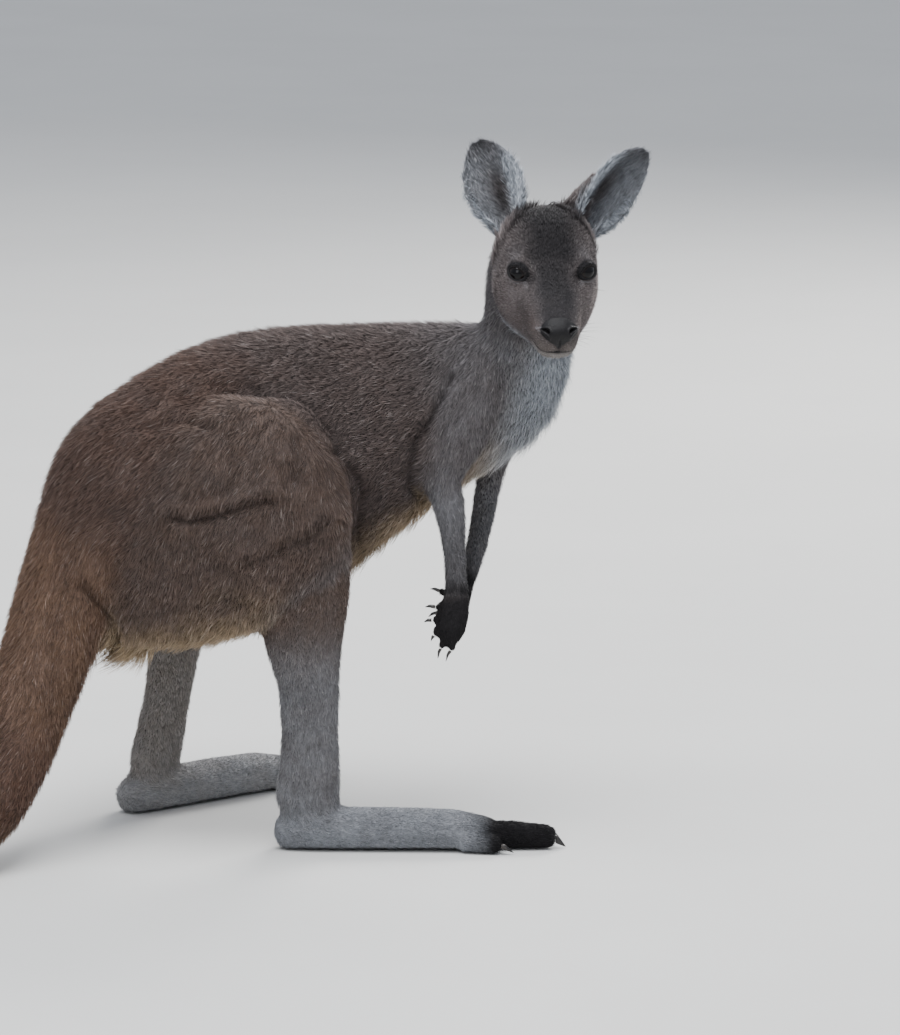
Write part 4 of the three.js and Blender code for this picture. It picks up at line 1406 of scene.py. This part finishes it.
@dataclass
class Whiskers:
    """The stiff long hairs of lip, chin, brow and cheek, and the lashes of the upper lid.

    Each row gives, in the head's axes in millimetres, where its first and last hair stand, how
    many there are, how long they are and which way they point.
    """

    skin: Skin
    seed: int = 31
    radius: float = 0.14 * MM
    steps: int = 7
    rows: tuple = (
        ((84, 13, -12), (66, 22, -11), 6, (14, 30), (-0.25, 1.0, 0.05)),
        ((86, 12, -17), (66, 23, -17), 7, (16, 34), (-0.2, 1.0, -0.15)),
        ((84, 12, -22), (68, 21, -23), 6, (12, 26), (-0.2, 0.9, -0.4)),
        ((72, 5, -42), (60, 9, -44), 5, (8, 16), (-0.05, 0.4, -1.0)),
        ((8, 33, 26), (-4, 36, 26), 4, (10, 18), (-0.2, 0.6, 1.0)),
        ((10, 48, -16), (2, 49, -22), 3, (12, 18), (-0.4, 1.0, -0.3)),
    )

    def hairs(self) -> list[tuple[Array, Array, float]]:
        """Where each hair starts, its first direction and its length in millimetres."""
        rng = np.random.default_rng(self.seed)
        head = self.skin.head
        tree = BVHTree.FromPolygons(self.skin.points.tolist(), self.skin.triangles.tolist())
        found = []
        for first, last, count, (short, long), aim in self.rows:
            for sign in SIDES.values():
                for share in np.linspace(0.0, 1.0, count):
                    f, s, u = np.array(first) * (1 - share) + np.array(last) * share + rng.normal(0.0, 0.9, 3)
                    place = head.origin + (head.forward * f + head.left * s * sign + head.up * u) * MM
                    root = np.array(tree.find_nearest(Vector(place))[0])
                    way = head.direction(aim[0], aim[1] * sign, aim[2]) + rng.normal(0.0, 0.1, 3)
                    found.append((root, unit(way), short + (long - short) * share * rng.uniform(0.8, 1.1)))
        return found

    def lashes(self) -> list[tuple[Array, Array, float]]:
        """The lashes along each upper lid, as hairs."""
        rng = np.random.default_rng(self.seed + 1)
        head, found = self.skin.head, []
        for side in SIDES:
            gaze, level, upright = head.eye_axes(side)
            for turn in np.radians(np.linspace(24.0, 156.0, 22) + rng.normal(0.0, 1.5, 22)):
                aside = math.radians(46.0) * math.cos(turn)
                above = math.radians(29.0) * math.sin(turn)
                out = unit(gaze + level * math.tan(aside) + upright * math.tan(above))
                way = unit(out * 0.9 + upright * 0.55 + rng.normal(0.0, 0.07, 3))
                found.append((head.eyes[side] + out * 12.9 * MM, way, rng.uniform(3.0, 5.0)))
        return found

    def build(self, name: str, hairs: list[tuple[Array, Array, float]], droop: float) -> bpy.types.Object:
        """Makes tapering, three-sided hairs as one piece.

        Args:
            name: the piece's name.
            hairs: the start, direction and length of each.
            droop: how far each bends down by its tip, as a share of its length.

        Returns:
            The piece.
        """
        points, faces = [], []
        for root, way, length in hairs:
            start = len(points)
            beside = unit(np.cross(way, (0.0, 0.0, 1.0)))
            above = np.cross(beside, way)
            for t in np.linspace(0.0, 1.0, self.steps):
                sag = np.array([0.0, 0.0, droop * length * MM * t * t])
                centre = root + way * length * MM * (t - 0.06) - sag
                for turn in (0.5, 2.594, 4.689):
                    size = self.radius * (1.02 - t)
                    points.append(centre + (beside * math.cos(turn) + above * math.sin(turn)) * size)
            for k in range(self.steps - 1):
                low, high = start + 3 * k, start + 3 * k + 3
                for a, b in ((0, 1), (1, 2), (2, 0)):
                    faces += [(low + a, low + b, high + b), (low + a, high + b, high + a)]
            end = start + 3 * (self.steps - 1)
            faces += [(start, start + 2, start + 1), (end, end + 1, end + 2)]
        return new_piece(name, np.array(points), np.array(faces))


# ---- Finishes ----

Colour = tuple[float, float, float]


def linear(colour: Colour) -> tuple[float, float, float, float]:
    """A display colour from 0 to 255 as a linear one from 0 to 1."""
    shares = [c / 255.0 for c in colour]
    return (*(c / 12.92 if c <= 0.04045 else ((c + 0.055) / 1.055) ** 2.4 for c in shares), 1.0)


class Nodes:
    """A node tree being made, for a material, a group or the world."""

    def __init__(self, tree: bpy.types.NodeTree) -> None:
        """Starts from an empty tree."""
        self.tree = tree
        tree.nodes.clear()

    def add(self, kind: str, inputs: dict | None = None, **settings: object) -> bpy.types.Node:
        """Adds a node.

        Args:
            kind: the node's type, without its ShaderNode.
            inputs: for each input socket, by name or number, its value or what is linked to it.
            settings: the node's own settings.

        Returns:
            The node.
        """
        prefix = "" if kind.startswith("Node") else "ShaderNode"
        node = self.tree.nodes.new(prefix + kind)
        for name, value in settings.items():
            setattr(node, name, value)
        for key, value in (inputs or {}).items():
            if isinstance(value, bpy.types.NodeSocket):
                self.tree.links.new(value, node.inputs[key])
            else:
                node.inputs[key].default_value = value
        return node

    def math(self, operation: str, a: object, b: object = 0.0, clamp: bool = False) -> bpy.types.NodeSocket:
        """The result of a sum on two numbers or sockets."""
        return self.add("Math", {0: a, 1: b}, operation=operation, use_clamp=clamp).outputs[0]

    def mix(self, share: object, a: object, b: object, blend: str = "MIX") -> bpy.types.NodeSocket:
        """The colour between a and b, at a share of b."""
        inputs = {"Factor": share, 6: a, 7: b}
        return self.add("Mix", inputs, data_type="RGBA", blend_type=blend, clamp_result=False).outputs[2]

    def painted(self, name: str) -> tuple[bpy.types.NodeSocket, ...]:
        """The three values painted on the vertices under one name."""
        colour = self.add("Attribute", attribute_name=name).outputs["Color"]
        return tuple(self.add("SeparateColor", {0: colour}).outputs)

    def steps(self, value: object, low: float, high: float) -> bpy.types.NodeSocket:
        """A soft step from 0 at low to 1 at high."""
        inputs = {"Value": value, "From Min": low, "From Max": high}
        return self.add("MapRange", inputs, interpolation_type="SMOOTHSTEP").outputs[0]

    def noise(
        self, scale: object, detail: float, seed: float, stretch: Colour = (1, 1, 1),
    ) -> bpy.types.NodeSocket:
        """Noise over the object's own space, from about 0.2 to 0.8."""
        place = self.add("TexCoord").outputs["Object"]
        moved = self.add("Mapping", {"Vector": place, "Location": (seed, seed, seed), "Scale": stretch})
        inputs = {"Vector": moved.outputs[0], "Scale": scale, "Detail": detail, "Roughness": 0.6}
        return self.add("TexNoise", inputs).outputs["Fac"]


class Effects:
    """The node groups that more than one material uses, each built once."""

    def __init__(self) -> None:
        """Builds the groups."""
        self.markings = self.build_markings()
        self.grizzle = self.build_grizzle()
        self.grain = self.build_grain()

    def start(
        self, name: str, inputs: dict[str, object], outputs: dict[str, str],
    ) -> tuple[Nodes, dict, bpy.types.Node]:
        """Starts a group.

        Args:
            name: the group's name.
            inputs: each input's name and first value, a number or a colour.
            outputs: each output's name and socket type.

        Returns:
            The group's nodes, its inputs by name, and its output node.
        """
        tree = bpy.data.node_groups.new(name, "ShaderNodeTree")
        for socket, value in inputs.items():
            kind = "NodeSocketFloat" if isinstance(value, float) else "NodeSocketColor"
            tree.interface.new_socket(name=socket, in_out="INPUT", socket_type=kind).default_value = value
        for socket, kind in outputs.items():
            tree.interface.new_socket(name=socket, in_out="OUTPUT", socket_type=kind)
        nodes = Nodes(tree)
        given = nodes.add("NodeGroupInput").outputs
        return nodes, {name: given[name] for name in inputs}, nodes.add("NodeGroupOutput")

    def build_markings(self) -> bpy.types.NodeTree:
        """The coat's colour, from its palette and the shares painted on the vertices."""
        names = ("Ground", "Rufous", "Buff", "Ashy", "Dark")
        nodes, given, out = self.start(
            "Coat markings", {name: linear((90, 80, 75)) for name in names}, {"Color": "NodeSocketColor"},
        )
        painted = nodes.add("Attribute", attribute_name="markings")
        parts = nodes.add("SeparateColor", {0: painted.outputs["Color"]})
        wander = nodes.math("MULTIPLY", nodes.math("SUBTRACT", nodes.noise(38.0, 3.0, 4.0), 0.5), 0.5)
        colour = given["Ground"]
        shares = (parts.outputs[0], parts.outputs[1], parts.outputs[2], painted.outputs["Alpha"])
        for name, share in zip(names[1:], shares):
            rest = nodes.math("SUBTRACT", 1.0, share)
            edge = nodes.math("MULTIPLY", nodes.math("MULTIPLY", share, rest), 4.0)
            ragged = nodes.math("ADD", share, nodes.math("MULTIPLY", wander, edge), clamp=True)
            colour = nodes.mix(ragged, colour, given[name])
        nodes.tree.links.new(colour, out.inputs["Color"])
        return nodes.tree

    def build_grizzle(self) -> bpy.types.NodeTree:
        """How light or dark the coat is from place to place, round 1."""
        nodes, given, out = self.start(
            "Grizzle", {"Scale": 160.0, "Amount": 0.3}, {"Value": "NodeSocketFloat"},
        )
        fine = nodes.noise(given["Scale"], 4.0, 1.0)
        broad = nodes.noise(22.0, 2.0, 7.0)
        slow = nodes.math("MULTIPLY", nodes.math("SUBTRACT", broad, 0.5), 0.55)
        both = nodes.math("ADD", nodes.math("SUBTRACT", fine, 0.5), slow)
        scaled = nodes.math("MULTIPLY", nodes.math("MULTIPLY", both, 2.0), given["Amount"])
        nodes.tree.links.new(nodes.math("ADD", scaled, 1.0), out.inputs["Value"])
        return nodes.tree

    def build_grain(self) -> bpy.types.NodeTree:
        """The pebbled relief of bare skin and horn."""
        nodes, given, out = self.start(
            "Skin grain", {"Scale": 900.0, "Softness": 0.4}, {"Height": "NodeSocketFloat"},
        )
        place = nodes.add("TexCoord").outputs["Object"]
        voronoi = nodes.add("TexVoronoi", {"Vector": place, "Scale": given["Scale"]}, feature="F1")
        cells = voronoi.outputs["Distance"]
        rough = nodes.noise(given["Scale"], 3.0, 2.0)
        height = nodes.mix(given["Softness"], nodes.math("SUBTRACT", 1.0, cells), rough)
        nodes.tree.links.new(height, out.inputs["Height"])
        return nodes.tree


@dataclass(frozen=True)
class Palette:
    """The colours of the hair, as display values."""

    ground: Colour = (98, 89, 87)
    rufous: Colour = (126, 94, 76)
    buff: Colour = (178, 156, 126)
    ashy: Colour = (164, 169, 176)
    dark: Colour = (29, 27, 29)

    def place(self, nodes: Nodes, group: bpy.types.NodeTree) -> bpy.types.NodeSocket:
        """Adds the markings with this palette, and gives their colour."""
        names = ("ground", "rufous", "buff", "ashy", "dark")
        values = {name.capitalize(): linear(getattr(self, name)) for name in names}
        return nodes.add("Group", values, node_tree=group).outputs["Color"]


@dataclass(frozen=True)
class HairFinish:
    """Tufts of hair: darker at the root, paler at the tip, and unlike their neighbours."""

    effects: Effects
    palette: Palette
    name: str = "Coat hair"
    grizzle: float = 0.42
    variety: float = 0.3
    root: float = 0.42
    tip: float = 1.42
    frost: float = 0.38
    pale: Colour = (190, 186, 182)
    roughness: float = 0.62

    def make(self) -> bpy.types.Material:
        """Makes the material."""
        material = bpy.data.materials.new(self.name)
        material.use_nodes = True
        nodes = Nodes(material.node_tree)
        strand = nodes.painted("strand")
        colour = self.palette.place(nodes, self.effects.markings)
        mottle = nodes.add("Group", {"Scale": 170.0, "Amount": self.grizzle}, node_tree=self.effects.grizzle)
        own = nodes.math("ADD", nodes.math("MULTIPLY", strand[0], self.variety), 1.0)
        along = nodes.math("ADD", nodes.math("MULTIPLY", strand[1], self.tip - self.root), self.root)
        light = nodes.math("MULTIPLY", nodes.math("MULTIPLY", own, along), mottle.outputs["Value"])
        light = nodes.math("MAXIMUM", light, 0.08)
        frosted = nodes.math("MULTIPLY", nodes.steps(strand[0], 0.75, 1.9), self.frost)
        frosted = nodes.math("MULTIPLY", frosted, nodes.math("MULTIPLY", strand[1], strand[2]))
        colour = nodes.mix(frosted, colour, linear(self.pale))
        shaded = nodes.add("VectorMath", {0: colour, "Scale": light}, operation="SCALE").outputs[0]
        rough = nodes.math("MULTIPLY", mottle.outputs["Value"], 0.12)
        rough = nodes.math("ADD", rough, self.roughness - 0.12)
        shader = nodes.add("BsdfPrincipled", {
            "Base Color": shaded, "Roughness": rough, "Specular IOR Level": 0.1,
            "Sheen Weight": 0.03, "Sheen Roughness": 0.5,
        })
        nodes.add("OutputMaterial", {"Surface": shader.outputs[0]})
        return material


@dataclass(frozen=True)
class SkinFinish:
    """The skin: under-hair darkened as painted shade where there is a coat, and pebbled leather where there
    is none.
    """

    effects: Effects
    palette: Palette
    name: str = "Skin"
    depth_shade: float = 0.55

    def make(self) -> bpy.types.Material:
        """Makes the material."""
        material = bpy.data.materials.new(self.name)
        material.use_nodes = True
        nodes = Nodes(material.node_tree)
        bare, wet, _ = nodes.painted("surface")
        colour = self.palette.place(nodes, self.effects.markings)
        mottle = nodes.add("Group", {"Scale": 420.0, "Amount": 0.5}, node_tree=self.effects.grizzle)
        mottle = mottle.outputs["Value"]
        # Painted shade: the skin under the coat is darkened as if shaded by the hair over it.
        shade = nodes.math("MULTIPLY", mottle, self.depth_shade)
        furred = nodes.add("VectorMath", {0: colour, "Scale": shade}, operation="SCALE")
        pores = nodes.add("Group", {"Scale": 1100.0, "Softness": 0.35}, node_tree=self.effects.grain)
        pores = pores.outputs["Height"]
        leather = nodes.mix(pores, linear((8, 8, 9)), linear((34, 32, 33)))
        shown = nodes.mix(bare, furred.outputs[0], leather)
        height = nodes.mix(bare, mottle, pores)
        relief = nodes.add("Bump", {"Strength": 0.7, "Distance": 0.0006, "Height": height}).outputs[0]
        dry = nodes.math("ADD", nodes.math("MULTIPLY", pores, 0.12), 0.58)
        rough = nodes.math("SUBTRACT", dry, nodes.math("MULTIPLY", wet, 0.22))
        coated = nodes.math("MULTIPLY", nodes.math("SUBTRACT", 1.0, bare), 0.8)
        rough = nodes.math("ADD", nodes.math("MULTIPLY", rough, bare), coated)
        shader = nodes.add("BsdfPrincipled", {
            "Base Color": shown, "Roughness": rough, "Normal": relief, "Specular IOR Level": 0.16,
        })
        nodes.add("OutputMaterial", {"Surface": shader.outputs[0]})
        return material


@dataclass(frozen=True)
class EyeFinish:
    """A wet dark eye: a wide pupil, a brown iris with fine spokes, and a dark rim."""

    name: str = "Eye"
    pupil: Colour = (5, 4, 5)
    iris: Colour = (26, 16, 12)
    rim: Colour = (12, 9, 8)
    white: Colour = (40, 32, 29)

    def make(self) -> bpy.types.Material:
        """Makes the material."""
        material = bpy.data.materials.new(self.name)
        material.use_nodes = True
        nodes = Nodes(material.node_tree)
        angle, aside, above = nodes.painted("iris")
        wide = nodes.math("POWER", nodes.math("ABSOLUTE", nodes.math("DIVIDE", aside, 0.5)), 2.0)
        tall = nodes.math("POWER", nodes.math("ABSOLUTE", nodes.math("DIVIDE", above, 0.4)), 2.0)
        pupil = nodes.steps(nodes.math("ADD", wide, tall), 1.15, 0.85)
        turn = nodes.math("ARCTAN2", above, aside)
        around = nodes.math("MULTIPLY", turn, 11.0)
        spokes = nodes.add("TexNoise", {"W": around, "Scale": 1.0, "Detail": 4.0}, noise_dimensions="1D")
        fibre = nodes.steps(spokes.outputs["Fac"], 0.3, 0.7)
        iris = nodes.mix(fibre, linear(self.rim), linear(self.iris))
        rim = nodes.steps(angle, 0.235, 0.265)
        beyond = nodes.mix(nodes.steps(angle, 0.27, 0.3), linear(self.rim), linear(self.white))
        colour = nodes.mix(rim, iris, beyond)
        colour = nodes.mix(pupil, colour, linear(self.pupil))
        rough = nodes.math("ADD", nodes.math("MULTIPLY", nodes.noise(600.0, 2.0, 3.0), 0.05), 0.04)
        shader = nodes.add("BsdfPrincipled", {
            "Base Color": colour, "Roughness": rough, "Specular IOR Level": 0.2,
        })
        nodes.add("OutputMaterial", {"Surface": shader.outputs[0]})
        return material


@dataclass(frozen=True)
class HornFinish:
    """Black horn, streaked along the claw, duller and dustier at the root."""

    effects: Effects
    name: str = "Horn"
    dark: Colour = (17, 15, 15)
    light: Colour = (58, 51, 46)

    def make(self) -> bpy.types.Material:
        """Makes the material."""
        material = bpy.data.materials.new(self.name)
        material.use_nodes = True
        nodes = Nodes(material.node_tree)
        along = nodes.painted("strand")[0]
        streak = nodes.noise(900.0, 4.0, 5.0, (1.0, 1.0, 0.25))
        grain = nodes.add("Group", {"Scale": 1500.0, "Softness": 0.7}, node_tree=self.effects.grain)
        worn = nodes.math("MULTIPLY", nodes.steps(along, 0.45, 0.0), 0.45)
        streaked = nodes.math("MULTIPLY", nodes.steps(streak, 0.42, 0.72), 0.5)
        pale = nodes.math("ADD", streaked, worn, clamp=True)
        colour = nodes.mix(pale, linear(self.dark), linear(self.light))
        rough = nodes.math("ADD", nodes.math("MULTIPLY", pale, 0.25), 0.3)
        height = nodes.mix(0.5, streak, grain.outputs["Height"])
        relief = nodes.add("Bump", {"Strength": 0.5, "Distance": 0.0003, "Height": height}).outputs[0]
        shader = nodes.add("BsdfPrincipled", {
            "Base Color": colour, "Roughness": rough, "Normal": relief, "Specular IOR Level": 0.5,
        })
        nodes.add("OutputMaterial", {"Surface": shader.outputs[0]})
        return material


@dataclass(frozen=True)
class BristleFinish:
    """Whiskers and lashes: stiff black-brown hair."""

    name: str = "Bristle"
    dark: Colour = (24, 21, 21)
    light: Colour = (70, 62, 58)

    def make(self) -> bpy.types.Material:
        """Makes the material."""
        material = bpy.data.materials.new(self.name)
        material.use_nodes = True
        nodes = Nodes(material.node_tree)
        share = nodes.steps(nodes.noise(260.0, 2.0, 6.0), 0.35, 0.7)
        colour = nodes.mix(share, linear(self.dark), linear(self.light))
        rough = nodes.math("ADD", nodes.math("MULTIPLY", nodes.noise(500.0, 2.0, 8.0), 0.2), 0.3)
        shader = nodes.add("BsdfPrincipled", {
            "Base Color": colour, "Roughness": rough, "Specular IOR Level": 0.5,
        })
        nodes.add("OutputMaterial", {"Surface": shader.outputs[0]})
        return material


@dataclass(frozen=True)
class FloorFinish:
    """A plain, pale, matt studio floor."""

    name: str = "Floor"
    colour: Colour = (206, 205, 202)

    def make(self) -> bpy.types.Material:
        """Makes the material."""
        material = bpy.data.materials.new(self.name)
        material.use_nodes = True
        nodes = Nodes(material.node_tree)
        cloud = nodes.steps(nodes.noise(2.5, 4.0, 9.0), 0.3, 0.7)
        darker = tuple(c * 0.985 for c in self.colour)
        colour = nodes.mix(cloud, linear(self.colour), linear(darker))
        height = nodes.noise(180.0, 3.0, 1.0)
        relief = nodes.add("Bump", {"Strength": 0.08, "Distance": 0.001, "Height": height})
        shader = nodes.add("BsdfPrincipled", {
            "Base Color": colour, "Roughness": 0.85, "Normal": relief.outputs[0], "Specular IOR Level": 0.2,
        })
        nodes.add("OutputMaterial", {"Surface": shader.outputs[0]})
        return material


# ---- Studio ----


@dataclass
class Studio:
    """The floor, the soft light and the camera."""

    target: tuple[float, float, float] = (0.315447, 0.121882, 0.3165)
    distance: float = 6.5
    elevation: float = 10.5
    lens: float = 36.0 * 6500.0 / 1035.0
    floor_size: float = 60.0

    def build(self) -> None:
        """Makes everything."""
        self.lay_floor()
        self.hang_lights()
        self.place_camera()

    def lay_floor(self) -> None:
        """Lays a wide floor, as a grid that is a little finer near the animal."""
        ticks = np.sinh(np.linspace(-3.0, 3.0, 25)) / math.sinh(3.0) * self.floor_size / 2
        x, y = np.meshgrid(ticks, ticks, indexing="ij")
        points = np.stack([x.ravel(), y.ravel(), np.zeros(x.size)], axis=1)
        row = len(ticks)
        a = (np.arange(row - 1)[:, None] * row + np.arange(row - 1)).ravel()
        faces = np.concatenate([np.stack([a, a + row, a + row + 1], 1), np.stack([a, a + row + 1, a + 1], 1)])
        floor = new_piece("studio_floor", points, faces)
        floor.data.materials.append(FloorFinish().make())

    def hang_lights(self) -> None:
        """A wide soft light above, a weaker one from the front, and pale surroundings."""
        self.add_light("above", (0.1, -0.6, 3.4), (0.3, 0.15, 0.3), 2.2, 170.0, (0.97, 0.985, 1.0))
        self.add_light("front", (-1.2, -4.2, 2.6), (0.3, 0.1, 0.35), 2.6, 80.0, (0.96, 0.98, 1.0))
        self.add_light("behind", (1.8, 3.4, 2.6), (0.3, 0.1, 0.4), 2.0, 190.0, (1.0, 0.99, 0.97))
        world = bpy.data.worlds.new("studio")
        world.use_nodes = True
        nodes = Nodes(world.node_tree)
        sky = nodes.add("Background", {"Color": linear((226, 232, 243)), "Strength": 0.95})
        nodes.add("OutputWorld", {"Surface": sky.outputs[0]})
        bpy.context.scene.world = world

    def add_light(
        self, name: str, place: Colour, aim: Colour, size: float, power: float, colour: Colour,
    ) -> None:
        """Hangs a square soft light.

        Args:
            name: the light's name.
            place: where it hangs, in metres.
            aim: what it points at.
            size: the length of its side.
            power: its power in watts.
            colour: its colour.
        """
        data = bpy.data.lights.new(f"light_{name}", "AREA")
        data.size, data.energy, data.color = size, power, colour
        light = bpy.data.objects.new(data.name, data)
        light.location = place
        light.rotation_euler = (Vector(aim) - Vector(place)).to_track_quat("-Z", "Y").to_euler()
        bpy.context.scene.collection.objects.link(light)

    def place_camera(self) -> None:
        """Stands the camera off to the animal's right, a little above it."""
        data = bpy.data.cameras.new("camera")
        data.sensor_fit, data.sensor_width, data.lens = "AUTO", 36.0, self.lens
        data.clip_start, data.clip_end = 0.05, 200.0
        camera = bpy.data.objects.new("camera", data)
        angle = math.radians(self.elevation)
        away = Vector((0.0, -math.cos(angle), math.sin(angle))) * self.distance
        camera.location = Vector(self.target) + away
        camera.rotation_euler = (-away).to_track_quat("-Z", "Y").to_euler()
        bpy.context.scene.collection.objects.link(camera)
        bpy.context.scene.camera = camera


# ---- The whole animal ----


@dataclass
class Kangaroo:
    """The whole animal, built over the frame's solids."""

    frame: dict
    tufts: int = 300000

    def finish_piece(
        self, piece: bpy.types.Object, slot: str, material: bpy.types.Material, *nodes: str,
    ) -> None:
        """Gives a piece its material, lets it ride, and hides the nodes that it replaces."""
        piece.data.materials.clear()
        piece.data.materials.append(material)
        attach(piece, "root")
        if nodes:
            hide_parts(*nodes)
        LOG.info("%s: %d faces", piece.name, len(piece.data.polygons))

    def build(self) -> None:
        """Builds the skin, its coat, the eyes, the claws and the whiskers, in that order."""
        effects, palette = Effects(), Palette()
        head = HeadFrame.from_eyes()
        skin = Skin(self.frame, head)
        skin.build()
        hide = Hide(skin)
        piece = skin.unwrap()
        put_field(piece, "markings", hide.markings)
        wet = Face(skin).pad_share() * skin.is_part("head")
        put_field(piece, "surface", np.stack([hide.bare, wet, hide.inner, hide.inner], axis=1))
        self.finish_piece(piece, "coat_back", SkinFinish(effects, palette).make(), *skin.nodes)
        self.grow_coat(Coat(skin, hide, self.unwrapped(piece)), HairFinish(effects, palette).make())
        eye, horn = EyeFinish().make(), HornFinish(effects).make()
        for side in SIDES:
            self.finish_piece(Eye(head, side).build(), "eye", eye, f"eye_{side}")
        for node in sorted(n for n in self.frame["nodes"] if n.startswith("claw")):
            self.finish_piece(Claw(node).build(), "claw", horn, node)
        whiskers, bristle = Whiskers(skin), BristleFinish().make()
        self.finish_piece(whiskers.build("whiskers", whiskers.hairs(), 0.12), "coat_face", bristle)
        self.finish_piece(whiskers.build("lashes", whiskers.lashes(), 0.0), "coat_face", bristle)

    def unwrapped(self, piece: bpy.types.Object) -> Array:
        """The skin's unwrap, as faces x corners x 2."""
        places = np.empty(len(piece.data.loops) * 2, np.float32)
        piece.data.uv_layers["OFBake"].uv.foreach_get("vector", places)
        return places.reshape(-1, 3, 2).astype(float)

    def grow_coat(self, coat: Coat, material: bpy.types.Material) -> None:
        """Grows each zone of the coat, with tufts shared out by area and density."""
        skin, weight = coat.skin, coat.hide.density
        masks = [skin.is_part(*layer.parts) for layer in LAYERS]
        corners = skin.points[skin.triangles]
        cross = np.cross(corners[:, 1] - corners[:, 0], corners[:, 2] - corners[:, 0])
        area = np.linalg.norm(cross, axis=1) / 2
        needs = [(area * (weight * mask)[skin.triangles].mean(axis=1)).sum() for mask in masks]
        for layer, mask, need in zip(LAYERS, masks, needs):
            count = int(self.tufts * need / sum(needs))
            for piece in coat.grow(layer.name, weight * mask, count):
                self.finish_piece(piece, layer.slot, material)
        for piece in coat.grow_ear_hair():
            self.finish_piece(piece, "coat_ear", material)
        for piece in coat.grow_fringes():
            self.finish_piece(piece, "coat_throat", material)


def main() -> None:
    """Builds the animal and its studio."""
    logging.basicConfig(level=logging.INFO, format="%(name)s %(message)s")
    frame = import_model()
    Kangaroo(frame).build()
    Studio().build()


if __name__ == "__main__":
    main()
